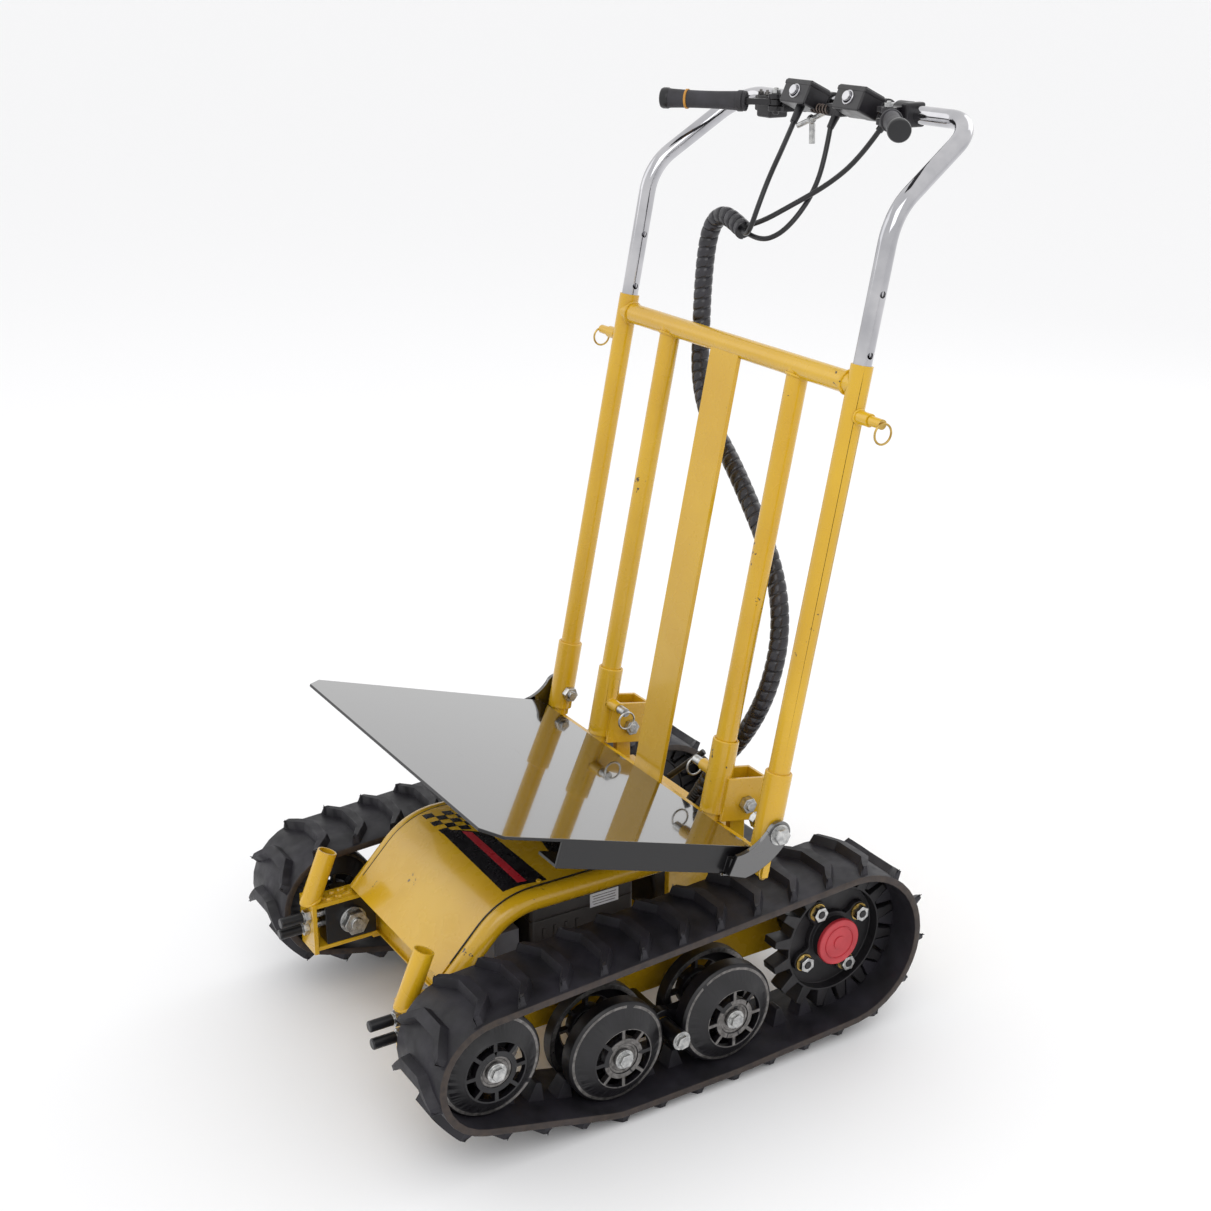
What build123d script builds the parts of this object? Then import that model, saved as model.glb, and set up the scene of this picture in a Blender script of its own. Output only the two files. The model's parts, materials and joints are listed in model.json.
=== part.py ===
"""Powered tracked cart: two rubber tracks, a battery chassis, a folding load plate, a tilting back frame and a
telescoping handle with its controls.

Millimetres. +Z up, front at -Y, the operator stands at +Y, left at +X. The origin is on the ground, midway between
the tracks.
"""
import os
from math import asin, atan2, cos, hypot, pi, radians, sin, tan

from build123d import *

# ---------------------------------------------------------------- driving dimensions

# tracks
track_centre = 229.0  # middle of the cart to middle of a track
belt_width = 114.0
belt_thickness = 9.4
belt_clearance = 0.6  # belt to wheel treads
lug_height = 12.0  # outer lugs, each an arch of three arms
lug_width = 13.0
lug_tip = 52.0  # arm ends, measured across the belt from its middle
lug_shoulder = 23.0
lug_rise = 20.0
lug_pitch = 54.0
lug_start_y = -208.0  # one lug's tips on the top run
lug_sink = 3.5  # lugs and horns are moulded into the belt
lug_spare = 4.0  # trimmed off again along the bends
horn_height = 23.0  # inner drive horns, gripped by the sprocket
horn_base = 25.0
horn_top = 6.0
horn_width = 24.0

# wheels, all double, one half on each side of the horns
wheel_radius = 67.0
tread_width = 19.0
horn_side_clearance = 2.0
hub_radius = 40.0
hub_proud = 14.0  # hub face stands outside the tread's outer face
web_thickness = 8.0
window_inner = 27.0
window_outer = 38.0
spoke_width = 5.0
spoke_count = 8
bearing_outer = 20.0
bearing_inner = 8.5
bearing_width = 12.0
fit_clearance = 0.05
spindle_radius = bearing_inner - fit_clearance

# wheel places, seen from the side
idler_y = -296.5
idler_z = 132.3
road_front_y = -124.4
road_rear_y = 38.0
bogie_pivot_y = -42.0
bogie_pivot_drop = 3.0
sprocket_y = 218.3
sprocket_z = 130.0

# sprocket and hub
sprocket_teeth = 16
sprocket_tip = 97.0
sprocket_belt_gap = 2.6
sprocket_rim_inner = 71.0
sprocket_width = 24.0
notch_mouth = 30.0
notch_floor = 12.5
notch_floor_radius = 74.0
sprocket_web = 6.0
stud_circle = 50.0
stud_radius = 5.0
m12_hex = 9.5  # half across the flats of the M12 nuts and bolt heads
hub_flange_radius = 62.0
hub_flange_thickness = 8.0
hub_barrel = 30.0
cap_radius = 31.8
cap_thickness = 6.0
axle_radius = 15.0

# chassis
rail_inner = 140.0
rail_thickness = 20.0
rail_bottom = 85.0
rail_top = 135.0
rail_front = -262.0
rail_rear = 272.0
pan_z = 96.0
pan_thickness = 3.0
axle_tube_radius = 30.0
pivot_shaft_radius = 10.0

# tensioner
carrier_height = 56.0
carrier_front = -334.0
carrier_rear = -263.0
carrier_inner = 125.0
carrier_outer = 150.0
slide_clearance = 0.3
bracket_wall = 5.7
front_plate_y = -352.0
front_plate_thickness = 6.0
front_plate_inner = 124.0
front_plate_outer = 168.0
stake_radius = 13.0
stake_bore = 10.5
stake_lean = 23.0
stake_length = 66.0
stake_x = 143.0
stake_y = -345.0
screw_radius = 5.0
screw_cap_radius = 7.0
screw_cap_front = -392.5

# hood
hood_rail_radius = 13.5
hood_rail_x = 133.0
hood_rail_z = 249.0
hood_front_y = -284.0
hood_front_z = 166.0
hood_bend_y = -204.0
hood_bend_radius = 90.0
hood_half_width = 125.6
hood_thickness = 2.0
hood_rear_y = 20.0

# back frame, measured along and across its own leaning plane
frame_lean = 11.17
frame_foot_y = 95.7
frame_foot_z = 313.6
outer_tube_x = 250.0
inner_tube_x = 138.6
tube_radius = 13.45
tube_bore = 11.1
sleeve_radius = 16.85
sleeve_bore = 13.5
sleeve_top = 87.0
sleeve_bottom = -10.0
crossbar_height = 564.0
upright_top = 588.0
tie_top = -20.0
tie_height = 28.0
bar_width = 60.0
bar_thickness = 6.0
bar_front = -11.0
plate_pivot_height = 14.7
hinge_back = 33.6  # hinge bolt behind the tubes' plane
hinge_up = 6.6
hinge_ear_thickness = 5.0
hinge_ear_gap = 33.0
bolt_radius = 6.0

# handle
handle_radius = 11.0
handle_bore = 9.0
handle_foot = 330.0
handle_bend = 760.0
handle_top_x = 230.5
handle_top_y = 378.0
handle_top_z = 1150.0
handle_bend_radius = 80.0
handle_corner_radius = 50.0
handle_step = 70.0  # between the pin holes in the handle's legs
pin_height = 530.0
pin_radius = 4.0
pin_tube_radius = 8.0
pin_tube_length = 20.0
lower_pin_height = 39.0

# load plate
plate_pitch = 17.5
plate_half_width = 260.0
plate_thickness = 4.0
plate_rear_y = 68.0
plate_rear_z = 314.0
plate_depth = 377.0
plate_corner = 22.0
channel_height = 32.0
channel_wall = 4.0
channel_lip = 40.0
channel_setback = 100.0
arm_inner = 267.4
arm_thickness = 6.0

# ---------------------------------------------------------------- derived sizes

road_z = lug_height + belt_thickness + belt_clearance + wheel_radius
bogie_pivot_z = road_z - bogie_pivot_drop
half_inner = track_centre + horn_width / 2 + horn_side_clearance  # inner face of a wheel's outer half
half_outer = half_inner + tread_width
hub_face = half_outer + hub_proud
bolt_seat = hub_face + 0.4
lean = radians(frame_lean)
belt_inner_radius = wheel_radius + belt_clearance
sprocket_belt_radius = sprocket_tip + sprocket_belt_gap
neutral = belt_thickness / 2
guides = [
    (idler_y, idler_z, belt_inner_radius),
    (road_front_y, road_z, belt_inner_radius),
    (road_rear_y, road_z, belt_inner_radius),
    (sprocket_y, sprocket_z, sprocket_belt_radius),
]


def side_plane(y, z, x=0.0):
    """A plane facing +X, with local x along Y and local y along Z."""
    return Plane(origin=(x, y, z), x_dir=(0, 1, 0), z_dir=(1, 0, 0))


def axle_section(y, z):
    """A plane through an axle: local x along X, local y upwards."""
    return Plane(origin=(0, y, z), x_dir=(1, 0, 0), z_dir=(0, -1, 0))


# the back frame's own plane: local x along X, local y rearwards, z up along the tubes
frame = Plane(origin=(0, frame_foot_y, frame_foot_z), x_dir=(1, 0, 0), z_dir=(0, sin(lean), cos(lean)))


def frame_point(x, back, up):
    """A point given across, behind and along the back frame."""
    return frame.from_local_coords(Vector(x, back, up))


def frame_side_plane(back, up, x=0.0):
    """A plane facing +X whose local x points behind the frame and local y along its tubes."""
    return Plane(origin=frame_point(x, back, up), x_dir=(0, cos(lean), -sin(lean)), z_dir=(1, 0, 0))


# ---------------------------------------------------------------- belt path


def run_normals():
    """Outward normal of each straight run of the belt, in radians, starting at the idler's lower side."""
    normals = []
    for (y1, z1, r1), (y2, z2, r2) in zip(guides, guides[1:] + guides[:1]):
        run = hypot(y2 - y1, z2 - z1)
        normals.append(atan2(z2 - z1, y2 - y1) - pi / 2 + asin((r1 - r2) / run))
    return normals


normals = run_normals()
turns = [(normals[i] - normals[i - 1]) % (2 * pi) for i in range(len(guides))]
runs = []
for (y1, z1, r1), (y2, z2, r2) in zip(guides, guides[1:] + guides[:1]):
    runs.append((hypot(y2 - y1, z2 - z1) ** 2 - (r1 - r2) ** 2) ** 0.5)
belt_length = sum(runs) + sum(turn * (guide[2] + neutral) for turn, guide in zip(turns, guides))


def belt_place(distance):
    """The belt's inner surface at a distance along its neutral line: y, z and the outward normal's angle."""
    distance %= belt_length
    for i, (y, z, r) in enumerate(guides):
        arc = turns[i] * (r + neutral)
        if distance <= arc:
            angle = normals[i - 1] + distance / (r + neutral)
            return y + r * cos(angle), z + r * sin(angle), angle
        distance -= arc
        if distance <= runs[i]:
            angle = normals[i]
            return (
                y + r * cos(angle) - distance * sin(angle),
                z + r * sin(angle) + distance * cos(angle),
                angle,
            )
        distance -= runs[i]
    return guides[0]


def belt_outline(offset):
    """The belt's closed outline at a distance outside its inner surface, drawn in the active BuildLine."""
    for i, (y, z, r) in enumerate(guides):
        radius = r + offset
        start, middle, end = normals[i - 1], normals[i - 1] + turns[i] / 2, normals[i - 1] + turns[i]
        ThreePointArc(*[(y + radius * cos(a), z + radius * sin(a)) for a in (start, middle, end)])
        following = guides[(i + 1) % len(guides)]
        far = following[2] + offset
        Line(
            (y + radius * cos(end), z + radius * sin(end)),
            (following[0] + far * cos(end), following[1] + far * sin(end)),
        )


sprocket_start = sum(turns[i] * (guides[i][2] + neutral) + runs[i] for i in range(3))
sprocket_rear = sprocket_start + ((-normals[2]) % (2 * pi)) * (sprocket_belt_radius + neutral)
horn_count = round(belt_length / ((sprocket_belt_radius + neutral) * 2 * pi / sprocket_teeth))
lug_count = round(belt_length / lug_pitch)
top_run_start = belt_length - runs[3]
top_run_y = guides[3][0] + guides[3][2] * cos(normals[3])
lug_start = top_run_start + (top_run_y - lug_start_y) / sin(normals[3])

# ---------------------------------------------------------------- tracks


def lug_planes(shift):
    """A plane on each lug's place, facing outwards, moved along the belt against its running direction."""
    planes = []
    for i in range(lug_count):
        y, z, angle = belt_place(lug_start + i * belt_length / lug_count - shift)
        depth = belt_thickness - lug_sink
        origin = (track_centre, y + depth * cos(angle), z + depth * sin(angle))
        planes.append(Plane(origin=origin, x_dir=(1, 0, 0), z_dir=(0, cos(angle), sin(angle))))
    return planes


def horn_planes():
    """A plane facing +X on each horn's place, with local y pointing into the loop."""
    planes = []
    for i in range(horn_count):
        y, z, angle = belt_place(sprocket_rear + i * belt_length / horn_count)
        origin = (track_centre - horn_width / 2, y, z)
        planes.append(Plane(origin=origin, x_dir=(0, -sin(angle), cos(angle)), z_dir=(1, 0, 0)))
    return planes


with BuildPart() as track:
    with BuildSketch(Plane.YZ.offset(track_centre - belt_width / 2)):
        with BuildLine():
            belt_outline(belt_thickness)
        make_face()
        with BuildLine():
            belt_outline(0)
        make_face(mode=Mode.SUBTRACT)
    extrude(amount=belt_width)
    arch = [(-lug_tip, 0), (-lug_shoulder, lug_rise), (lug_shoulder, lug_rise), (lug_tip, 0)]
    for (x1, y1), (x2, y2) in zip(arch, arch[1:]):
        middle = (y1 + y2) / 2
        half = lug_width / 2
        with BuildSketch(*lug_planes(middle)):
            Polygon(
                (x1, y1 - middle - half),
                (x2, y2 - middle - half),
                (x2, y2 - middle + half),
                (x1, y1 - middle + half),
                align=None,
            )
        extrude(amount=lug_height + lug_sink + lug_spare)
    # the lugs' outer faces follow the belt's bends
    with BuildSketch(Plane.YZ.offset(track_centre - belt_width / 2)):
        with BuildLine():
            belt_outline(belt_thickness + lug_height)
        make_face()
    extrude(amount=belt_width, mode=Mode.INTERSECT)
    with BuildSketch(*horn_planes()):
        Polygon(
            (-horn_base / 2, -lug_sink),
            (horn_base / 2, -lug_sink),
            (horn_top / 2, horn_height),
            (-horn_top / 2, horn_height),
            align=None,
        )
    extrude(amount=horn_width)

# ---------------------------------------------------------------- wheels


def wheel_half(y, z):
    """The outer half of a double wheel: tread, sloping web, spoked hub and bearing seat."""
    tread_inner = wheel_radius - 7
    with BuildPart() as half:
        with BuildSketch(axle_section(y, z)):
            Polygon(
                (half_inner, wheel_radius),
                (half_outer - 3, wheel_radius),
                (half_outer, wheel_radius - 3),
                (half_outer, tread_inner),
                (hub_face - 2, hub_radius + 2),
                (hub_face, hub_radius),
                (hub_face, bearing_outer),
                (hub_face - bearing_width - 2, bearing_outer),
                (hub_face - bearing_width - 2, window_inner - 1.5),
                (hub_face - web_thickness, window_inner),
                (hub_face - web_thickness, hub_radius),
                (half_outer - 5, tread_inner - 2),
                (half_inner, tread_inner),
                align=None,
            )
        revolve(axis=Axis((0, y, z), (1, 0, 0)))
        with BuildSketch(side_plane(y, z, hub_face)):
            Circle(window_outer)
            Circle(window_inner, mode=Mode.SUBTRACT)
            with PolarLocations(window_outer / 2, spoke_count):
                Rectangle(window_outer, spoke_width, mode=Mode.SUBTRACT)
        extrude(amount=-web_thickness - 3, mode=Mode.SUBTRACT)
    return half.part


def bearing(y, z):
    """A ball bearing in the outer half's seat, with its shield's groove."""
    face = hub_face - 1
    with BuildPart() as race:
        with BuildSketch(side_plane(y, z, face)):
            Circle(bearing_outer)
            Circle(bearing_inner, mode=Mode.SUBTRACT)
        extrude(amount=-bearing_width)
        with BuildSketch(side_plane(y, z, face)):
            Circle(bearing_outer - 3)
            Circle(bearing_inner + 3, mode=Mode.SUBTRACT)
        extrude(amount=-1, mode=Mode.SUBTRACT)
    return race.part


def double_wheel(y, z):
    """Two wheel halves and their two bearings, as separate solids."""
    half, race = wheel_half(y, z), bearing(y, z)
    middle = Plane.YZ.offset(track_centre)
    return [half, race, half.mirror(middle), race.mirror(middle)]


idler_wheel = double_wheel(idler_y, idler_z)
road_wheel_front = double_wheel(road_front_y, road_z)
road_wheel_rear = double_wheel(road_rear_y, road_z)


flange_radius = 12.4
flange_thickness = 2.0
flange_hex = 8.0
flange_hex_height = 5.6


def flange_bolt(y, z, x, turned=0.0):
    """A hex flange bolt's head on a face at x, pointing outwards."""
    with BuildPart() as head:
        with BuildSketch(side_plane(y, z, x)):
            Circle(flange_radius)
        extrude(amount=flange_thickness)
        with BuildSketch(side_plane(y, z, x + flange_thickness)):
            RegularPolygon(flange_hex, 6, major_radius=False, rotation=turned)
        extrude(amount=flange_hex_height)
    return head.part


idler_bolt_head = flange_bolt(idler_y, idler_z, bolt_seat, 5)
front_bolt_head = flange_bolt(road_front_y, road_z, bolt_seat)
rear_bolt_head = flange_bolt(road_rear_y, road_z, bolt_seat, 20)
pivot_bolt_head = flange_bolt(bogie_pivot_y, bogie_pivot_z, bolt_seat, 10)

# ---------------------------------------------------------------- bogie

beam_half = 7.0
beam_height = 26.0
beam_boss = 20.0
spindle_inner = 2 * track_centre - bolt_seat

with BuildPart() as bogie_beam:
    with BuildSketch(side_plane(0, 0, track_centre - beam_half)):
        with Locations(((road_front_y + road_rear_y) / 2, road_z)):
            Rectangle(road_rear_y - road_front_y, beam_height)
        with Locations((road_front_y, road_z), (road_rear_y, road_z), (bogie_pivot_y, bogie_pivot_z)):
            Circle(beam_boss)
    extrude(amount=2 * beam_half)
    for wheel_y in (road_front_y, road_rear_y):
        with BuildSketch(side_plane(wheel_y, road_z, spindle_inner)):
            Circle(spindle_radius)
        extrude(amount=bolt_seat - spindle_inner)
    with BuildSketch(side_plane(bogie_pivot_y, bogie_pivot_z, track_centre - beam_half)):
        Circle(pivot_shaft_radius + fit_clearance)
    extrude(amount=2 * beam_half, mode=Mode.SUBTRACT)

with BuildPart() as bogie_bolts:
    add([front_bolt_head, rear_bolt_head])

# ---------------------------------------------------------------- idler carrier and tensioner

carrier_top = idler_z + carrier_height / 2
carrier_bottom = idler_z - carrier_height / 2
nut_hex = 15.0
nut_height = 12.0
washer_radius = 18.5
washer_thickness = 3.0
screw_places = [(137.5, idler_z + 15.0), (144.5, idler_z - 5.0)]
screw_depth = 10.0

with BuildPart() as idler_carrier:
    with BuildSketch(side_plane((carrier_front + carrier_rear) / 2, idler_z, carrier_inner)):
        RectangleRounded(carrier_rear - carrier_front, carrier_height, 3)
    extrude(amount=carrier_outer - carrier_inner)
    with BuildSketch(side_plane(idler_y, idler_z, carrier_inner)):
        Circle(spindle_radius)
    extrude(amount=carrier_outer - carrier_inner, mode=Mode.SUBTRACT)
    for screw_x, screw_z in screw_places:
        with BuildSketch(Plane.XZ.offset(-carrier_front)):
            with Locations((screw_x, screw_z)):
                Circle(screw_radius)
        extrude(amount=-screw_depth, mode=Mode.SUBTRACT)

with BuildPart() as idler_spindle:
    with BuildSketch(side_plane(idler_y, idler_z, carrier_inner - washer_thickness - nut_height - 3)):
        Circle(spindle_radius)
    extrude(amount=bolt_seat - (carrier_inner - washer_thickness - nut_height - 3))
    with BuildSketch(side_plane(idler_y, idler_z, track_centre - horn_width / 2)):
        Circle(spindle_radius + 4)
    extrude(amount=horn_width)
    add(idler_bolt_head)

with BuildPart() as idler_nut:
    with BuildSketch(side_plane(idler_y, idler_z, carrier_inner - washer_thickness - nut_height)):
        RegularPolygon(nut_hex, 6, major_radius=False)
        Circle(spindle_radius, mode=Mode.SUBTRACT)
    extrude(amount=nut_height)

with BuildPart() as idler_washer:
    with BuildSketch(side_plane(idler_y, idler_z, carrier_inner - washer_thickness)):
        Circle(washer_radius)
        Circle(spindle_radius, mode=Mode.SUBTRACT)
    extrude(amount=washer_thickness)

bracket_top = carrier_top + slide_clearance + bracket_wall
bracket_bottom = carrier_bottom - slide_clearance - bracket_wall
bracket_web_x = carrier_outer + slide_clearance
front_plate_rear = front_plate_y + front_plate_thickness
slot_travel = 24.0
stake_foot = Plane(
    origin=(stake_x, stake_y, bracket_top + 4),
    x_dir=(1, 0, 0),
    z_dir=(0, sin(radians(stake_lean)), cos(radians(stake_lean))),
)

with BuildPart() as stake_socket:
    with BuildSketch(stake_foot.offset(-2 * stake_radius)):
        Circle(stake_radius)
    extrude(amount=stake_length + 2 * stake_radius)
    with BuildSketch(stake_foot):
        Circle(stake_bore)
    extrude(amount=stake_length, mode=Mode.SUBTRACT)
    with BuildSketch(Plane.XY.offset(bracket_top - 1)):
        with Locations((stake_x, stake_y)):
            Rectangle(8 * stake_radius, 8 * stake_radius)
    extrude(amount=-4 * stake_radius, mode=Mode.SUBTRACT)

with BuildPart() as tension_bracket:
    bracket_depth = rail_front - front_plate_rear
    with BuildSketch(Plane.XZ.offset(-rail_front)):
        with Locations(((carrier_inner + bracket_web_x + bracket_wall) / 2, idler_z)):
            Rectangle(bracket_web_x + bracket_wall - carrier_inner, bracket_top - bracket_bottom)
        with Locations(((carrier_inner + bracket_web_x) / 2, idler_z)):
            Rectangle(
                bracket_web_x - carrier_inner, carrier_height + 2 * slide_clearance, mode=Mode.SUBTRACT
            )
    extrude(amount=bracket_depth)
    with BuildSketch(side_plane(idler_y, idler_z, bracket_web_x)):
        SlotOverall(2 * spindle_radius + slot_travel, 2 * spindle_radius + 1)
    extrude(amount=bracket_wall, mode=Mode.SUBTRACT)
    with BuildSketch(Plane.XZ.offset(-front_plate_rear)):
        with Locations(((front_plate_inner + front_plate_outer) / 2, (bracket_top + bracket_bottom) / 2 - 2)):
            Rectangle(front_plate_outer - front_plate_inner, bracket_top - bracket_bottom + 4)
    extrude(amount=front_plate_thickness)
    add(stake_socket.part)
    for screw_x, screw_z in screw_places:
        with BuildSketch(Plane.XZ.offset(-front_plate_rear)):
            with Locations((screw_x, screw_z)):
                Circle(screw_radius + slide_clearance)
        extrude(amount=front_plate_thickness, mode=Mode.SUBTRACT)

screw_nut_height = 8.0
screw_nut_hex = 8.5
screw_front = front_plate_y - screw_nut_height - 2

with BuildPart() as screw_nuts:
    with BuildSketch(Plane.XZ.offset(-front_plate_y)):
        for screw_place in screw_places:
            with Locations(screw_place):
                RegularPolygon(screw_nut_hex, 6, major_radius=False)
                Circle(screw_radius + slide_clearance, mode=Mode.SUBTRACT)
    extrude(amount=screw_nut_height)

with BuildPart() as tension_screws:
    with BuildSketch(Plane.XZ.offset(-carrier_front)):
        with Locations(*screw_places):
            Circle(screw_radius)
    extrude(amount=-screw_depth)
    with BuildSketch(Plane.XZ.offset(-carrier_front)):
        with Locations(*screw_places):
            Circle(screw_radius)
    extrude(amount=carrier_front - screw_front)

with BuildPart() as tension_screw_caps:
    with BuildSketch(Plane.XZ.offset(-screw_front)):
        with Locations(*screw_places):
            Circle(screw_cap_radius)
    extrude(amount=screw_front - screw_cap_front)
    fillet(tension_screw_caps.faces().sort_by(Axis.Y)[0:2].edges(), 2)

# ---------------------------------------------------------------- sprocket, hub, cap and nuts

sprocket_outer_x = track_centre + sprocket_width / 2 + 2
web_x = track_centre - 7
hub_flange_face = web_x + sprocket_web + hub_flange_thickness
cap_back = hub_flange_face + 12
stud_angle = 29.5

with BuildPart() as sprocket:
    with BuildSketch(side_plane(sprocket_y, sprocket_z, sprocket_outer_x - sprocket_width)):
        Circle(sprocket_tip)
        Circle(sprocket_rim_inner, mode=Mode.SUBTRACT)
        with PolarLocations(0, sprocket_teeth):
            Polygon(
                (notch_floor_radius, -notch_floor / 2),
                (sprocket_tip + 2, -notch_mouth / 2),
                (sprocket_tip + 2, notch_mouth / 2),
                (notch_floor_radius, notch_floor / 2),
                align=None,
                mode=Mode.SUBTRACT,
            )
    extrude(amount=sprocket_width)
    with BuildSketch(side_plane(sprocket_y, sprocket_z, web_x)):
        Circle(sprocket_rim_inner + 1)
        Circle(axle_radius, mode=Mode.SUBTRACT)
        with PolarLocations(stud_circle, 4, start_angle=stud_angle):
            Circle(stud_radius, mode=Mode.SUBTRACT)
    extrude(amount=sprocket_web)

with BuildPart() as drive_hub:
    with BuildSketch(side_plane(sprocket_y, sprocket_z, web_x + sprocket_web)):
        Circle(hub_barrel + 6)
        with PolarLocations(stud_circle, 4, start_angle=stud_angle):
            Circle(hub_flange_radius - stud_circle + 2)
        with PolarLocations(stud_circle / 2, 4, start_angle=stud_angle):
            Rectangle(stud_circle, hub_flange_radius - stud_circle + 12)
    extrude(amount=hub_flange_thickness)
    with BuildSketch(side_plane(sprocket_y, sprocket_z, hub_flange_face)):
        Circle(hub_barrel)
    extrude(amount=cap_back - hub_flange_face)
    with BuildSketch(side_plane(sprocket_y, sprocket_z, web_x - 1)):
        with PolarLocations(stud_circle, 4, start_angle=stud_angle):
            Circle(stud_radius)
    extrude(amount=hub_flange_face + 12 - web_x)
    with BuildSketch(side_plane(sprocket_y, sprocket_z, 20)):
        Circle(axle_radius)
    extrude(amount=web_x + sprocket_web - 20)

with BuildPart() as hub_cap:
    with BuildSketch(side_plane(sprocket_y, sprocket_z, cap_back)):
        Circle(cap_radius)
    extrude(amount=cap_thickness)
    fillet(hub_cap.faces().sort_by(Axis.X)[-1].edges(), 2)

with BuildPart() as lug_nuts:
    with BuildSketch(side_plane(sprocket_y, sprocket_z, hub_flange_face)):
        with PolarLocations(stud_circle, 4, start_angle=stud_angle):
            RegularPolygon(m12_hex, 6, major_radius=False)
        with PolarLocations(stud_circle, 4, start_angle=stud_angle):
            Circle(stud_radius, mode=Mode.SUBTRACT)
    extrude(amount=10)

# ---------------------------------------------------------------- drive train inside the chassis

gearbox_half = 62.0
gearbox_depth = 68.0
gearbox_height = 84.0
gearbox_rise = 12.0
axle_tube_end = 170.0

with BuildPart() as gearbox:
    with BuildSketch(side_plane(sprocket_y, sprocket_z + gearbox_rise, -gearbox_half)):
        RectangleRounded(gearbox_depth, gearbox_height, 12)
    extrude(amount=2 * gearbox_half)
    with BuildSketch(side_plane(sprocket_y, sprocket_z, -axle_tube_end)):
        Circle(axle_tube_radius)
    extrude(amount=2 * axle_tube_end)
    with BuildSketch(side_plane(sprocket_y, sprocket_z, -axle_tube_end)):
        Circle(axle_radius + fit_clearance)
    extrude(amount=2 * axle_tube_end, mode=Mode.SUBTRACT)

motor_radius = 48.0
motor_front = 66.0
motor_rear = sprocket_y - gearbox_depth / 2

with BuildPart() as drive_motor:
    with BuildSketch(Plane.XZ.offset(-motor_rear)):
        with Locations((0, sprocket_z + 12)):
            Circle(motor_radius)
    extrude(amount=motor_rear - motor_front)
    fillet(drive_motor.faces().sort_by(Axis.Y)[0].edges(), 6)

# ---------------------------------------------------------------- chassis frame

post_inner = inner_tube_x - 5.0
post_thickness = 10.0
post_front = hood_rear_y + 5
post_rear = 146.0
post_shelf = 250.0
post_head = 11.5
hinge_point = frame_point(0, hinge_back, hinge_up)
hinge_y = hinge_point.Y
hinge_z = hinge_point.Z
bridge_height = 27.0

with BuildPart() as chassis_frame:
    with BuildSketch(side_plane(0, 0, rail_inner)):
        with Locations(((rail_front + rail_rear) / 2, (rail_bottom + rail_top) / 2)):
            Rectangle(rail_rear - rail_front, rail_top - rail_bottom)
        with Locations((sprocket_y, sprocket_z)):
            Circle(axle_tube_radius + 14)
            Circle(axle_tube_radius, mode=Mode.SUBTRACT)
    extrude(amount=rail_thickness)
    with BuildSketch(side_plane(0, 0, post_inner)):
        Polygon(
            (post_front, rail_bottom + 20),
            (post_rear, rail_bottom + 20),
            (post_rear, post_shelf),
            (hinge_y + post_head, post_shelf),
            (hinge_y + post_head, hinge_z),
            (hinge_y - post_head, hinge_z),
            (hinge_y - post_head, post_shelf),
            (post_front + 50, post_shelf),
            (post_front + 50, hood_rail_z + hood_rail_radius),
            (post_front, hood_rail_z + hood_rail_radius),
            align=None,
        )
        with Locations((hinge_y, hinge_z)):
            Circle(post_head)
    extrude(amount=post_thickness)
    with BuildSketch(side_plane(bogie_pivot_y, bogie_pivot_z, rail_inner + rail_thickness)):
        Circle(pivot_shaft_radius)
    extrude(amount=bolt_seat - rail_inner - rail_thickness)
    add(chassis_frame.part.mirror(Plane.YZ))
    for member_y in (rail_front + 15, 45.0, rail_rear - 10):
        with BuildSketch(side_plane(member_y, pan_z + 15, -rail_inner)):
            Rectangle(16, 30)
        extrude(amount=2 * rail_inner)
    with BuildSketch(Plane.XY.offset(pan_z)):
        with Locations((0, (rail_front + 55) / 2)):
            Rectangle(2 * rail_inner, 50 - rail_front)
    extrude(amount=pan_thickness)
    with BuildSketch(side_plane(post_rear - 15, post_shelf - bridge_height / 2 + 10, -post_inner)):
        Rectangle(30, bridge_height)
        Rectangle(24, bridge_height - 6, mode=Mode.SUBTRACT)
    extrude(amount=2 * post_inner)
    with BuildSketch(side_plane(hinge_y, hinge_z, -rail_inner - rail_thickness)):
        Circle(bolt_radius)
    extrude(amount=2 * (rail_inner + rail_thickness), mode=Mode.SUBTRACT)

# ---------------------------------------------------------------- hood, battery and controller


def hood_line(offset):
    """The hood rails' side profile at a distance above their centre line, drawn in the active BuildLine."""
    slope = atan2(hood_rail_z - hood_front_z, hood_bend_y - hood_front_y)
    rise = Vector(-sin(slope), cos(slope)) * offset
    corner = Vector(hood_bend_y - offset * tan(slope / 2), hood_rail_z + offset)
    start = Vector(hood_front_y, hood_front_z) + rise
    return FilletPolyline(start, corner, Vector(hood_rear_y, hood_rail_z + offset), radius=hood_bend_radius + offset)


with BuildPart() as hood_rail:
    with BuildLine() as rail_path:
        FilletPolyline(
            (hood_rail_x, hood_front_y, hood_front_z),
            (hood_rail_x, hood_bend_y, hood_rail_z),
            (hood_rail_x, hood_rear_y, hood_rail_z),
            radius=hood_bend_radius,
        )
    with BuildSketch(Plane(origin=rail_path.line @ 0, z_dir=rail_path.line % 0)):
        Circle(hood_rail_radius)
        Circle(hood_rail_radius - 2, mode=Mode.SUBTRACT)
    sweep()
    with BuildSketch(Plane.XY.offset(bracket_top)):
        with Locations((hood_rail_x, hood_front_y)):
            Rectangle(4 * hood_rail_radius, 6 * hood_rail_radius)
    extrude(amount=-2 * hood_rail_radius, mode=Mode.SUBTRACT)

with BuildPart() as hood_rails:
    add([hood_rail.part, hood_rail.part.mirror(Plane.YZ)])

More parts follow.
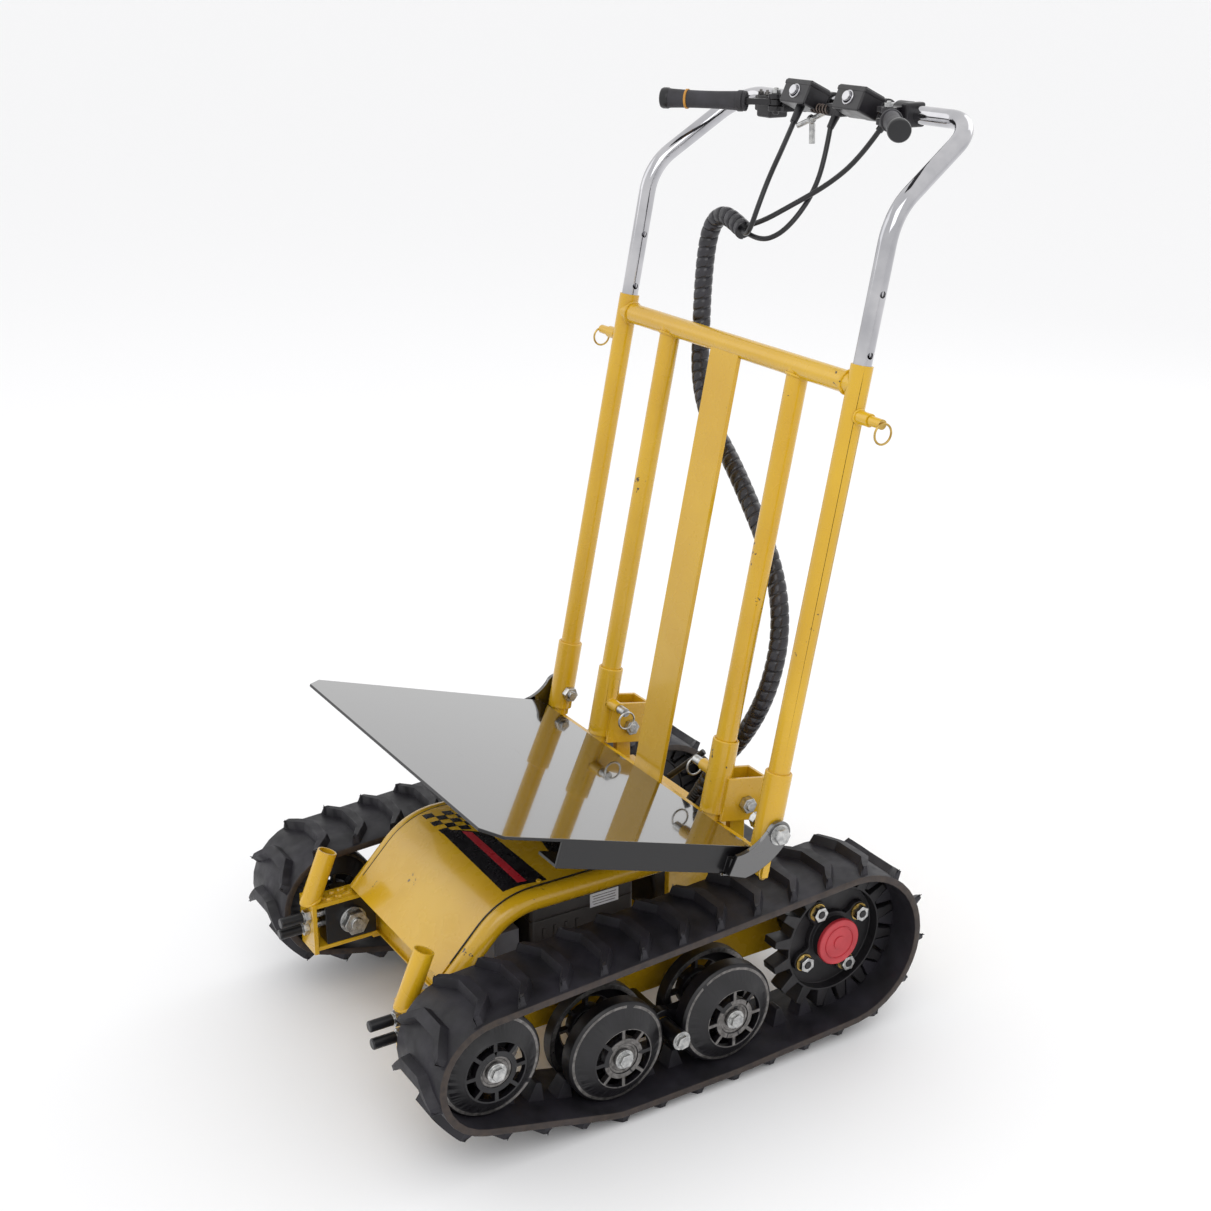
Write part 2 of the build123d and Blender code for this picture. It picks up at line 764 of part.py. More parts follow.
with BuildPart() as hood_panel:
    with BuildSketch(side_plane(0, 0, -hood_half_width)):
        with BuildLine():
            upper = hood_line(hood_rail_radius)
            lower = hood_line(hood_rail_radius - hood_thickness)
            Line(upper @ 0, lower @ 0)
            Line(upper @ 1, lower @ 1)
        make_face()
    extrude(amount=2 * hood_half_width)

battery_half_width = 112.0
battery_front = -158.0
battery_rear = -8.0
battery_height = 122.0
lid_height = 18.0

with BuildPart() as battery_case:
    with BuildSketch(Plane.XY.offset(pan_z + pan_thickness)):
        with Locations((0, (battery_front + battery_rear) / 2)):
            RectangleRounded(2 * battery_half_width, battery_rear - battery_front, 6)
    extrude(amount=battery_height)
    with BuildSketch(Plane.XY.offset(pan_z + pan_thickness + battery_height - lid_height)):
        with Locations((0, (battery_front + battery_rear) / 2)):
            RectangleRounded(2 * battery_half_width, battery_rear - battery_front, 6)
            RectangleRounded(
                2 * battery_half_width - 3, battery_rear - battery_front - 3, 5, mode=Mode.SUBTRACT
            )
    extrude(amount=-1.5, mode=Mode.SUBTRACT)

controller_half_width = 104.0
controller_front = -206.0
controller_depth = 36.0
controller_height = 96.0

with BuildPart() as motor_controller:
    with BuildSketch(Plane.XY.offset(pan_z + pan_thickness)):
        with Locations((0, controller_front + controller_depth / 2)):
            RectangleRounded(2 * controller_half_width, controller_depth, 3)
    extrude(amount=controller_height)

# ---------------------------------------------------------------- back frame

upper_tube_end = outer_tube_x + tube_radius + pin_tube_length
lower_tube_end = inner_tube_x - sleeve_radius - pin_tube_length

with BuildPart() as outer_upright:
    with BuildSketch(frame.offset(tie_top)):
        with Locations((outer_tube_x, 0)):
            Circle(tube_radius)
    extrude(amount=upright_top - tie_top)
    with BuildSketch(frame.offset(sleeve_bottom)):
        with Locations((outer_tube_x, 0)):
            Circle(sleeve_radius)
    extrude(amount=sleeve_top - sleeve_bottom)
    with BuildSketch(frame_side_plane(0, pin_height, outer_tube_x)):
        Circle(pin_tube_radius)
    extrude(amount=upper_tube_end - outer_tube_x)
    with BuildSketch(frame.offset(sleeve_top + 10)):
        with Locations((outer_tube_x, 0)):
            Circle(tube_bore)
    extrude(amount=upright_top - sleeve_top, mode=Mode.SUBTRACT)
    with BuildSketch(frame_side_plane(0, plate_pivot_height, outer_tube_x - 2 * sleeve_radius)):
        Circle(bolt_radius)
    extrude(amount=4 * sleeve_radius, mode=Mode.SUBTRACT)
    with BuildSketch(frame_side_plane(0, pin_height, outer_tube_x)):
        Circle(pin_radius + fit_clearance)
    extrude(amount=upper_tube_end - outer_tube_x, mode=Mode.SUBTRACT)

with BuildPart() as outer_uprights:
    add([outer_upright.part, outer_upright.part.mirror(Plane.YZ)])

with BuildPart() as crossbar:
    with BuildSketch(frame_side_plane(0, crossbar_height, -outer_tube_x)):
        Circle(tube_radius)
        Circle(tube_bore, mode=Mode.SUBTRACT)
    extrude(amount=2 * outer_tube_x)
    with BuildSketch(frame.offset(crossbar_height - 2 * tube_radius)):
        with Locations((outer_tube_x, 0), (-outer_tube_x, 0)):
            Circle(tube_radius)
    extrude(amount=4 * tube_radius, mode=Mode.SUBTRACT)

with BuildPart() as inner_upright:
    with BuildSketch(frame.offset(tie_top)):
        with Locations((inner_tube_x, 0)):
            Circle(tube_radius)
            Circle(tube_bore, mode=Mode.SUBTRACT)
    extrude(amount=crossbar_height - tie_top)
    with BuildSketch(frame_side_plane(0, crossbar_height, 0)):
        Circle(tube_radius)
    extrude(amount=outer_tube_x, mode=Mode.SUBTRACT)
    with BuildSketch(frame_side_plane(0, lower_pin_height, 0)):
        Circle(pin_radius + fit_clearance)
    extrude(amount=inner_tube_x, mode=Mode.SUBTRACT)

with BuildPart() as inner_uprights:
    add([inner_upright.part, inner_upright.part.mirror(Plane.YZ)])

with BuildPart() as centre_bar:
    with BuildSketch(frame.offset(tie_top - tie_height)):
        with Locations((0, bar_front + bar_thickness / 2)):
            Rectangle(bar_width, bar_thickness)
    extrude(amount=crossbar_height - tie_top + tie_height)
    with BuildSketch(frame_side_plane(0, crossbar_height, -bar_width)):
        Circle(tube_radius)
    extrude(amount=2 * bar_width, mode=Mode.SUBTRACT)

with BuildPart() as foot_tie:
    with BuildSketch(frame.offset(tie_top - tie_height)):
        Rectangle(2 * (outer_tube_x + tube_radius), -2 * (bar_front + bar_thickness))
    extrude(amount=tie_height)

ear_rear = hinge_back + 29
ear_top = hinge_up + 34
ear_bottom = hinge_up - 24

with BuildPart() as hinge_bracket:
    with BuildSketch(frame.offset(sleeve_bottom)):
        with Locations((inner_tube_x, 0)):
            Circle(sleeve_radius)
    extrude(amount=sleeve_top - sleeve_bottom)
    with BuildSketch(frame_side_plane(0, 0, inner_tube_x - hinge_ear_gap / 2 - hinge_ear_thickness)):
        with Locations((ear_rear / 2, (ear_top + ear_bottom) / 2)):
            Rectangle(ear_rear, ear_top - ear_bottom)
    extrude(amount=hinge_ear_gap + 2 * hinge_ear_thickness)
    with BuildSketch(frame_side_plane(0, 0, inner_tube_x - hinge_ear_gap / 2)):
        with Locations((ear_rear / 2 - hinge_ear_thickness, (ear_top + ear_bottom) / 2)):
            Rectangle(ear_rear, 2 * ear_top)
    extrude(amount=hinge_ear_gap, mode=Mode.SUBTRACT)
    with BuildSketch(frame.offset(sleeve_bottom)):
        with Locations((inner_tube_x, 0)):
            Circle(sleeve_radius)
    extrude(amount=sleeve_top - sleeve_bottom)
    with BuildSketch(frame.offset(sleeve_bottom)):
        with Locations((inner_tube_x, 0)):
            Circle(sleeve_bore)
    extrude(amount=sleeve_top - sleeve_bottom, mode=Mode.SUBTRACT)
    with BuildSketch(frame_side_plane(hinge_back, hinge_up, 0)):
        Circle(bolt_radius + fit_clearance)
    extrude(amount=outer_tube_x, mode=Mode.SUBTRACT)
    with BuildSketch(frame_side_plane(0, lower_pin_height, lower_tube_end)):
        Circle(pin_tube_radius)
    extrude(amount=pin_tube_length + 4)
    with BuildSketch(frame_side_plane(0, lower_pin_height, 0)):
        Circle(pin_radius + fit_clearance)
    extrude(amount=inner_tube_x, mode=Mode.SUBTRACT)
    with BuildSketch(frame.offset(lower_pin_height - 20)):
        with Locations((inner_tube_x, 0)):
            Circle(sleeve_bore)
    extrude(amount=40, mode=Mode.SUBTRACT)

with BuildPart() as hinge_brackets:
    add([hinge_bracket.part, hinge_bracket.part.mirror(Plane.YZ)])

with BuildPart() as hinge_bolt:
    with BuildSketch(side_plane(hinge_y, hinge_z, inner_tube_x - hinge_ear_gap / 2 - hinge_ear_thickness - 10)):
        Circle(bolt_radius)
    extrude(amount=hinge_ear_gap + 2 * hinge_ear_thickness + 24)
    nut_seat = inner_tube_x + hinge_ear_gap / 2 + hinge_ear_thickness + 0.4
    with BuildSketch(side_plane(hinge_y, hinge_z, nut_seat)):
        RegularPolygon(m12_hex, 6, major_radius=False)
    extrude(amount=10)
    with BuildSketch(side_plane(hinge_y, hinge_z, inner_tube_x - hinge_ear_gap / 2 - hinge_ear_thickness - 0.4)):
        RegularPolygon(m12_hex, 6, major_radius=False)
    extrude(amount=-8)

with BuildPart() as frame_bolts:
    add([hinge_bolt.part, hinge_bolt.part.mirror(Plane.YZ)])
    add([pivot_bolt_head, pivot_bolt_head.mirror(Plane.YZ)])

# ---------------------------------------------------------------- load plate

plate_rear = Vector(0, plate_rear_y, plate_rear_z)
pitch = radians(plate_pitch)
# local x along X, local y rearwards up the plate's surface, z off its upper face
plate_face = Plane(origin=plate_rear, x_dir=(1, 0, 0), z_dir=(0, sin(pitch), cos(pitch)))
pivot_point = frame_point(0, 0, plate_pivot_height)
pivot_local = plate_face.to_local_coords(pivot_point)

with BuildPart() as load_plate:
    with BuildSketch(plate_face):
        Polygon(
            (-plate_half_width, 0),
            (-plate_half_width, -plate_depth + plate_corner),
            (-plate_half_width + plate_corner, -plate_depth),
            (plate_half_width - plate_corner, -plate_depth),
            (plate_half_width, -plate_depth + plate_corner),
            (plate_half_width, 0),
            align=None,
        )
    extrude(amount=-plate_thickness)
    for side in (1, -1):
        with BuildSketch(Plane(origin=plate_rear, x_dir=(1, 0, 0), z_dir=-plate_face.y_dir)):
            with Locations((side * (plate_half_width - channel_wall / 2), -plate_thickness - channel_height / 2)):
                Rectangle(channel_wall, channel_height)
            with Locations(
                (side * (plate_half_width - channel_lip / 2), -plate_thickness - channel_height + channel_wall / 2)
            ):
                Rectangle(channel_lip, channel_wall)
        extrude(amount=plate_depth - channel_setback)
        arm_plane = Plane(
            origin=plate_rear + Vector(side * arm_inner - (arm_thickness if side < 0 else 0), 0, 0),
            x_dir=plate_face.y_dir,
            z_dir=(1, 0, 0),
        )
        with BuildSketch(arm_plane):
            with BuildLine():
                heel = (-8, -plate_thickness - channel_height)
                toe = (-34, -plate_thickness - channel_height + 2)
                shoulder = (-30, -plate_thickness - 4)
                front_top = (pivot_local.Y - 17, pivot_local.Z + 2)
                rear_low = (pivot_local.Y + 16, pivot_local.Z - 8)
                Line(heel, toe)
                Line(toe, shoulder)
                RadiusArc(shoulder, front_top, -60)
                Line(front_top, rear_low)
                RadiusArc(rear_low, heel, 90)
            make_face()
            with Locations((pivot_local.Y, pivot_local.Z)):
                Circle(17)
            with Locations((pivot_local.Y, pivot_local.Z)):
                Circle(bolt_radius + fit_clearance, mode=Mode.SUBTRACT)
        extrude(amount=arm_thickness)
        pad_start = side * plate_half_width
        pad_plane = Plane(origin=plate_rear + Vector(pad_start, 0, 0), x_dir=plate_face.y_dir, z_dir=(side, 0, 0))
        with BuildSketch(pad_plane):
            with Locations((-21, side * (-plate_thickness - channel_height / 2 - 4))):
                Rectangle(24, 20)
        extrude(amount=arm_inner - plate_half_width)

with BuildPart() as plate_bolt:
    with BuildSketch(frame_side_plane(0, plate_pivot_height, outer_tube_x - sleeve_radius - 14)):
        Circle(bolt_radius)
    extrude(amount=sleeve_radius + 14 + arm_inner + arm_thickness + 1 - outer_tube_x)
    with BuildSketch(frame_side_plane(0, plate_pivot_height, arm_inner + arm_thickness + 0.4)):
        RegularPolygon(m12_hex, 6, major_radius=False, rotation=12)
    extrude(amount=9)
    with BuildSketch(frame_side_plane(0, plate_pivot_height, outer_tube_x - sleeve_radius - 0.2)):
        RegularPolygon(m12_hex, 6, major_radius=False)
    extrude(amount=-9)

with BuildPart() as plate_bolts:
    add([plate_bolt.part, plate_bolt.part.mirror(Plane.YZ)])

# ---------------------------------------------------------------- pull pins

ring_radius = 12.0
ring_wire = 1.3
pin_engaged = 5.0


def pull_pin(up, tip_x, knob_x, ring_x):
    """A pin along X with a stepped head and a split ring through its eye, as two solids."""
    outward = 1 if ring_x > tip_x else -1
    with BuildPart() as pin:
        with BuildSketch(frame_side_plane(0, up, tip_x)):
            Circle(pin_radius)
        extrude(amount=ring_x - tip_x)
        with BuildSketch(frame_side_plane(0, up, knob_x)):
            Circle(6)
        extrude(amount=ring_x + 3 * outward - knob_x)
    centre = frame_point(ring_x + (3 + ring_wire) * outward, 0, up) - Vector(0, 0, ring_radius - ring_wire)
    with BuildPart() as ring:
        with BuildSketch(Plane(origin=centre + Vector(0, ring_radius, 0), x_dir=(1, 0, 0), z_dir=(0, 0, 1))):
            Circle(ring_wire)
        revolve(axis=Axis(centre, (1, 0, 0)))
    return [pin.part, ring.part]


upper_ring_x = upper_tube_end + 18
handle_pin = pull_pin(pin_height, outer_tube_x + pin_engaged, upper_tube_end + 0.5, upper_ring_x)

lower_ring_x = lower_tube_end - 14
tube_pin = pull_pin(lower_pin_height, inner_tube_x - tube_bore + 3, lower_tube_end - 0.5, lower_ring_x)

# ---------------------------------------------------------------- handle and its controls

foot = frame_point(outer_tube_x, 0, handle_foot)
bend = frame_point(outer_tube_x, 0, handle_bend)
handle_points = [
    foot,
    bend,
    Vector(handle_top_x, handle_top_y, handle_top_z),
    Vector(-handle_top_x, handle_top_y, handle_top_z),
    Vector(-bend.X, bend.Y, bend.Z),
    Vector(-foot.X, foot.Y, foot.Z),
]
bend_radii = [handle_bend_radius, handle_corner_radius, handle_corner_radius, handle_bend_radius]

with BuildPart() as handle_bar:
    with BuildLine() as handle_path:
        FilletPolyline(*handle_points, radius=bend_radii)
    with BuildSketch(Plane(origin=handle_path.line @ 0, z_dir=handle_path.line % 0)):
        Circle(handle_radius)
        Circle(handle_bore, mode=Mode.SUBTRACT)
    sweep()
    for step in (0, 1, 2):
        with BuildSketch(frame_side_plane(0, pin_height + step * handle_step, -2 * outer_tube_x)):
            Circle(pin_radius + fit_clearance)
        extrude(amount=4 * outer_tube_x, mode=Mode.SUBTRACT)

box_tilt = radians(25.0)
box_width = 52.0
box_depth = 34.0
box_height = 31.0
box_middle = 53.0
clamp_wall = 3.5
box_front_y = 336.0
box_top_z = 1181.5
button_radius = 6.5
button_proud = 5.0
# local x along X, local y back along the tilted lid, z up out of the lid
box_plane = Plane(origin=(0, box_front_y, box_top_z), x_dir=(1, 0, 0), z_dir=(0, sin(box_tilt), cos(box_tilt)))
# local x along X, local y up the box's face, z out of the face
box_face = Plane(
    origin=box_plane.origin - box_plane.z_dir * (box_height / 2),
    x_dir=(1, 0, 0),
    z_dir=-box_plane.y_dir,
)

with BuildPart() as control_box:
    with BuildSketch(box_plane):
        with Locations((box_middle, box_depth / 2)):
            Rectangle(box_width, box_depth)
    extrude(amount=-box_height)
    chamfer(control_box.edges().filter_by(GeomType.LINE), 1.5)
    with BuildSketch(side_plane(handle_top_y, handle_top_z, box_middle - box_width / 2 + 8)):
        Circle(handle_radius + clamp_wall)
        with Locations((-handle_radius - 2, 2)):
            Rectangle(2 * handle_radius, 2 * (handle_radius - 1))
    extrude(amount=box_width - 16)
    with BuildSketch(side_plane(handle_top_y, handle_top_z, 0)):
        Circle(handle_radius)
    extrude(amount=handle_top_x, mode=Mode.SUBTRACT)
    with BuildSketch(box_face):
        with Locations((box_middle, 0)):
            Circle(button_radius + 0.3)
    extrude(amount=-12, mode=Mode.SUBTRACT)

with BuildPart() as control_boxes:
    add([control_box.part, control_box.part.mirror(Plane.YZ)])

with BuildPart() as push_button:
    with BuildSketch(box_face.offset(-8)):
        with Locations((box_middle, 0)):
            Circle(button_radius)
    extrude(amount=8 + button_proud)
    fillet(push_button.faces().sort_by(Axis.Y)[0].edges(), 1)

perch_x = 104.0
perch_width = 24.0
lever_pivot_x = 112.0
lever_pivot_y = 344.0
lever_z = handle_top_z - 2
lever_end_x = 235.0
lever_end_y = 257.0
lever_thickness = 8.0
pivot_bolt_radius = 4.0
lever_direction = Vector(lever_end_x - lever_pivot_x, lever_end_y - lever_pivot_y, 0)
lever_plane = Plane(
    origin=(lever_pivot_x, lever_pivot_y, lever_z), x_dir=lever_direction.normalized(), z_dir=(0, 0, 1)
)

with BuildPart() as lever_perch:
    with BuildSketch(side_plane(handle_top_y, handle_top_z, perch_x - perch_width / 2)):
        Circle(handle_radius + clamp_wall)
        with Locations((-handle_radius - 12, -2)):
            Rectangle(26, 22)
        Circle(handle_radius, mode=Mode.SUBTRACT)
    extrude(amount=perch_width)
    with BuildSketch(Plane.XY.offset(lever_z - 11)):
        with Locations((lever_pivot_x, lever_pivot_y)):
            Circle(10)
    extrude(amount=22)
    with BuildSketch(Plane.XY.offset(lever_z - lever_thickness / 2 - 0.5)):
        with Locations((lever_pivot_x, lever_pivot_y)):
            Rectangle(44, 34)
    extrude(amount=lever_thickness + 1, mode=Mode.SUBTRACT)
    with BuildSketch(side_plane(handle_top_y, handle_top_z, perch_x - perch_width / 2)):
        Circle(handle_radius + clamp_wall)
        Circle(handle_radius, mode=Mode.SUBTRACT)
    extrude(amount=perch_width)
    with BuildSketch(Plane.XY.offset(lever_z - 15)):
        with Locations((lever_pivot_x, lever_pivot_y)):
            Circle(pivot_bolt_radius)
    extrude(amount=30)

with BuildPart() as lever_perches:
    add([lever_perch.part, lever_perch.part.mirror(Plane.YZ)])

lever_length = lever_direction.length
grip_start = 40.0
grip_radius = 13.0

with BuildPart() as hand_lever:
    with BuildSketch(lever_plane.offset(-lever_thickness / 2)):
        Circle(8)
        with Locations((lever_length / 2, 0)):
            Rectangle(lever_length, lever_thickness)
        Circle(pivot_bolt_radius + fit_clearance, mode=Mode.SUBTRACT)
    extrude(amount=lever_thickness)

with BuildPart() as lever_grip:
    grip_section = Plane(
        origin=lever_plane.origin + lever_plane.x_dir * grip_start, x_dir=(0, 0, 1), z_dir=lever_plane.x_dir
    )
    with BuildSketch(grip_section):
        Ellipse(grip_radius, grip_radius * 0.85)
    with BuildSketch(grip_section.offset((lever_length - grip_start) * 0.55)):
        Ellipse(grip_radius * 0.86, grip_radius * 0.8)
    with BuildSketch(grip_section.offset(lever_length - grip_start + 6)):
        Ellipse(grip_radius, grip_radius)
    loft()
    add(hand_lever.part, mode=Mode.SUBTRACT)

# ---------------------------------------------------------------- harness and cables


def cord(points, diameter):
    """A tube through straight runs joined by arcs as large as the runs allow."""
    vectors = [Vector(p) for p in points]
    radii = []
    for before, here, after in zip(vectors, vectors[1:], vectors[2:]):
        turn = radians((here - before).get_angle(after - here))
        shorter = min((here - before).length, (after - here).length)
        radii.append(0.45 * shorter / tan(turn / 2))
    with BuildPart() as tube:
        with BuildLine() as route:
            FilletPolyline(*vectors, radius=radii)
        with BuildSketch(Plane(origin=route.line @ 0, z_dir=route.line % 0)):
            Circle(diameter / 2)
        sweep(path=route.wire())
    print("cord length", round(route.wire().length, 1), "smallest bend", round(min(radii), 1))
    return tube.part


harness_diameter = 23.0
harness_route = [
    (-30, 240, 1003),
    (-58, 244, 1012),
    (-88, 247, 1016),
    (-112, 248, 1000),
    (-121, 246, 968),
    (-119, 240, 915),
    (-112, 234, 862),
    (-101, 225, 806),
    (-62, 213, 758),
    (2, 207, 716),
    (58, 199, 672),
    (106, 192, 630),
    (143, 184, 584),
    (162, 174, 533),
    (162, 164, 482),
    (149, 156, 434),
    (122, 150, 386),
    (88, 143, 342),
    (64, 134, 304),
    (58, 132, 268),
]
cable_diameter = 6.5
right_cable_route = [
    (-28.5, 236, 1004),
    (-8, 226, 1001),
    (8, 222, 1012),
    (12, 230, 1040),
    (4, 252, 1074),
    (-14, 284, 1104),
    (-40, 320, 1132),
]
left_cable_route = [
    (-28.5, 247, 998),
    (-6, 248, 993),
    (16, 260, 1002),
    (26, 280, 1024),
    (22, 308, 1054),
    (12, 330, 1090),
    (8, 340, 1128),
]
lead_route = [
    (-24.8, 242, 1010),
    (-4, 246, 1016),
    (18, 278, 1038),
    (44, 314, 1064),
    (70, 338, 1096),
    (88, 352, 1130),
]

harness = cord(harness_route, harness_diameter)
right_cable = cord(right_cable_route, cable_diameter)
left_cable = cord(left_cable_route, cable_diameter)
switch_lead = cord(lead_route, cable_diameter)

# ---------------------------------------------------------------- export

os.makedirs("parts", exist_ok=True)


def write(part, name):
    """Label a finished piece and write it as its own STEP file."""
    part.label = name
    export_step(part, f"parts/{name}.step")


def write_pair(solids, name):
    """Write a left-hand piece and its mirrored right-hand twin."""
    write(Compound(children=solids), name + "_left")
    write(Compound(children=[solid.mirror(Plane.YZ) for solid in solids]), name + "_right")


paired = {
    "track": [track.part],
    "sprocket": [sprocket.part],
    "drive_hub": [drive_hub.part],
    "hub_cap": [hub_cap.part],
    "lug_nuts": [lug_nuts.part],
    "idler_wheel": idler_wheel,
    "idler_carrier": [idler_carrier.part],
    "idler_spindle": [idler_spindle.part, idler_nut.part, idler_washer.part],
    "tension_bracket": [tension_bracket.part, screw_nuts.part],
    "tension_screws": [tension_screws.part, tension_screw_caps.part],
    "bogie_beam": [bogie_beam.part],
    "bogie_bolts": [bogie_bolts.part],
    "road_wheel_front": road_wheel_front,
    "road_wheel_rear": road_wheel_rear,
    "push_button": [push_button.part],
    "hand_lever": [hand_lever.part],
    "lever_grip": [lever_grip.part],
    "handle_pin": handle_pin,
    "tube_pin": tube_pin,
}
for name, solids in paired.items():
    write_pair(solids, name)

single = {
    "chassis_frame": chassis_frame,
    "hood_panel": hood_panel,
    "hood_rails": hood_rails,
    "battery_case": battery_case,
    "motor_controller": motor_controller,
    "gearbox": gearbox,
    "drive_motor": drive_motor,
    "frame_bolts": frame_bolts,
    "hinge_brackets": hinge_brackets,
    "outer_uprights": outer_uprights,
    "inner_uprights": inner_uprights,
    "crossbar": crossbar,
    "handle_bar": handle_bar,
    "control_boxes": control_boxes,
    "lever_perches": lever_perches,
    "load_plate": load_plate,
    "plate_bolts": plate_bolts,
}
for name, piece in single.items():
    write(piece.part, name)

write(Compound(children=[centre_bar.part, foot_tie.part]), "centre_bar")

cords = {
    "harness": harness,
    "cable_left": left_cable,
    "cable_right": right_cable,
    "switch_lead": switch_lead,
}
for name, piece in cords.items():
    write(piece, name)
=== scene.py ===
"""Finishes and detail for the powered tracked cart, built around its fixed frame.

Places are in millimetres in the cart's own axes (left +X, front -Y, up +Z). They become metres where they are
used.
"""

import json
import random
from math import asin, atan2, cos, hypot, pi, radians, sin

import bpy
from mathutils import Matrix, Vector

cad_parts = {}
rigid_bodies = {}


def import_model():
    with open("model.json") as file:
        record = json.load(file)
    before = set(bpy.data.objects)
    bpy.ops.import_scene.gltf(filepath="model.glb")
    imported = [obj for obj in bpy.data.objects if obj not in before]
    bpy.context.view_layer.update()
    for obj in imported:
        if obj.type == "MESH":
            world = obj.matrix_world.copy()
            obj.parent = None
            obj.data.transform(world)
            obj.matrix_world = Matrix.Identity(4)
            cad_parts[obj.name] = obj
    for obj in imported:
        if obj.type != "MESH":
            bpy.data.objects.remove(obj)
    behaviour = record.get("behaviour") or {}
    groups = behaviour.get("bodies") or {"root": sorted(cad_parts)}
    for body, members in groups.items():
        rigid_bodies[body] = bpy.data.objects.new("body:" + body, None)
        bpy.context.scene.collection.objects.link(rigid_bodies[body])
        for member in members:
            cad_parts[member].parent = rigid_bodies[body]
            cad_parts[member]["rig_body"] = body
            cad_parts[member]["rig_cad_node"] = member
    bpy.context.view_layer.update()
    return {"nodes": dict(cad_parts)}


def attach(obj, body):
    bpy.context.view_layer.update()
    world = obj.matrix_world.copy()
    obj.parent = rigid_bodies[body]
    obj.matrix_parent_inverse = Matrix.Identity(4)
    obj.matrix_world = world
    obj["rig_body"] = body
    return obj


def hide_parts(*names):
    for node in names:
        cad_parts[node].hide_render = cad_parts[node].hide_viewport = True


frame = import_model()
draw = random.Random(7)
MM = 0.001
SIDES = (("left", 1), ("right", -1))
BELT_X = 229.0  # each belt's middle, out from the cart's middle

# ---------------------------------------------------------------- finishes


def linear(hex_colour):
    """An sRGB hex colour as linear RGBA."""
    values = [int(hex_colour[i : i + 2], 16) / 255 for i in (1, 3, 5)]
    return tuple(v / 12.92 if v <= 0.04045 else ((v + 0.055) / 1.055) ** 2.4 for v in values) + (1.0,)


def add_node(tree, kind, links=None, stops=(), **settings):
    """Adds a shader node with its settings; links sets each socket's value or the output that feeds it."""
    made = tree.nodes.new(kind)
    for name, value in settings.items():
        setattr(made, name, value)
    for place, (position, colour) in enumerate(stops):
        elements = made.color_ramp.elements
        stop = elements[place] if place < len(elements) else elements.new(position)
        stop.position, stop.color = position, linear(colour)
    for socket, value in (links or {}).items():
        if isinstance(value, bpy.types.NodeSocket):
            tree.links.new(value, made.inputs[socket])
        else:
            made.inputs[socket].default_value = value
    return made


def start_finish(name, **sockets):
    """A new material with a Principled shader; the keywords are its sockets, with _ for a space."""
    finish = bpy.data.materials.new(name)
    finish.use_nodes = True
    tree = finish.node_tree
    tree.nodes.clear()
    shader = add_node(
        tree, "ShaderNodeBsdfPrincipled", {key.replace("_", " "): value for key, value in sockets.items()}
    )
    add_node(tree, "ShaderNodeOutputMaterial", {"Surface": shader.outputs["BSDF"]})
    place = add_node(tree, "ShaderNodeTexCoord").outputs["Object"]
    return finish, tree, shader, place


def grain(tree, place, millimetres, detail=2.0, roughness=0.5, stretch=None):
    """Noise whose blotches are that many millimetres across; stretch lengthens them along each axis."""
    if stretch:
        place = add_node(
            tree, "ShaderNodeMapping", {"Vector": place, "Scale": tuple(1 / s for s in stretch)}
        ).outputs["Vector"]
    return add_node(
        tree,
        "ShaderNodeTexNoise",
        {"Vector": place, "Scale": 1 / (millimetres * MM), "Detail": detail, "Roughness": roughness},
    ).outputs["Fac"]


def rough_between(tree, shader, value, low, high):
    """Roughness from low to high as the pattern goes from 0.3 to 0.7."""
    reach = {"Value": value, "From Min": 0.3, "From Max": 0.7, "To Min": low, "To Max": high}
    spread = add_node(tree, "ShaderNodeMapRange", reach)
    tree.links.new(spread.outputs["Result"], shader.inputs["Roughness"])


def emboss(tree, shader, value, depth_mm, strength=1.0):
    """Raises the surface by the pattern, depth_mm high."""
    bump = add_node(
        tree, "ShaderNodeBump", {"Height": value, "Distance": depth_mm * MM, "Strength": strength}
    )
    tree.links.new(bump.outputs["Normal"], shader.inputs["Normal"])
    return bump


def yellow_enamel(name, chipped=False):
    """Sprayed gloss enamel on steel: an even golden yellow with faint orange peel and a few chips."""
    finish, tree, shader, place = start_finish(name, IOR=1.5, Coat_Weight=0.35, Coat_Roughness=0.08)
    cloudy = grain(tree, place, 130, detail=3)
    paint = add_node(
        tree, "ShaderNodeValToRGB", {"Fac": cloudy}, stops=((0.3, "#c79a12"), (0.7, "#d2a71c"))
    ).outputs["Color"]
    # chips and rubbed spots of a few millimetres, down to the dark primer
    spots = grain(tree, place, 7, detail=3)
    where = grain(tree, place, 60, detail=1)
    both = add_node(
        tree, "ShaderNodeMath", {0: spots, 1: where}, operation="MULTIPLY"
    ).outputs["Value"]
    limit = 0.425 if chipped else 0.475
    chip = add_node(
        tree, "ShaderNodeMapRange", {"Value": both, "From Min": limit, "From Max": limit + 0.008}
    ).outputs["Result"]
    mixed = add_node(
        tree, "ShaderNodeMix", {0: chip, 6: paint, 7: linear("#4a3a26")}, data_type="RGBA"
    ).outputs[2]
    tree.links.new(mixed, shader.inputs["Base Color"])
    rough_between(tree, shader, grain(tree, place, 24), 0.2, 0.34)
    # orange peel about 1.5 mm across
    emboss(tree, shader, grain(tree, place, 1.6, detail=1), 0.012)
    return finish


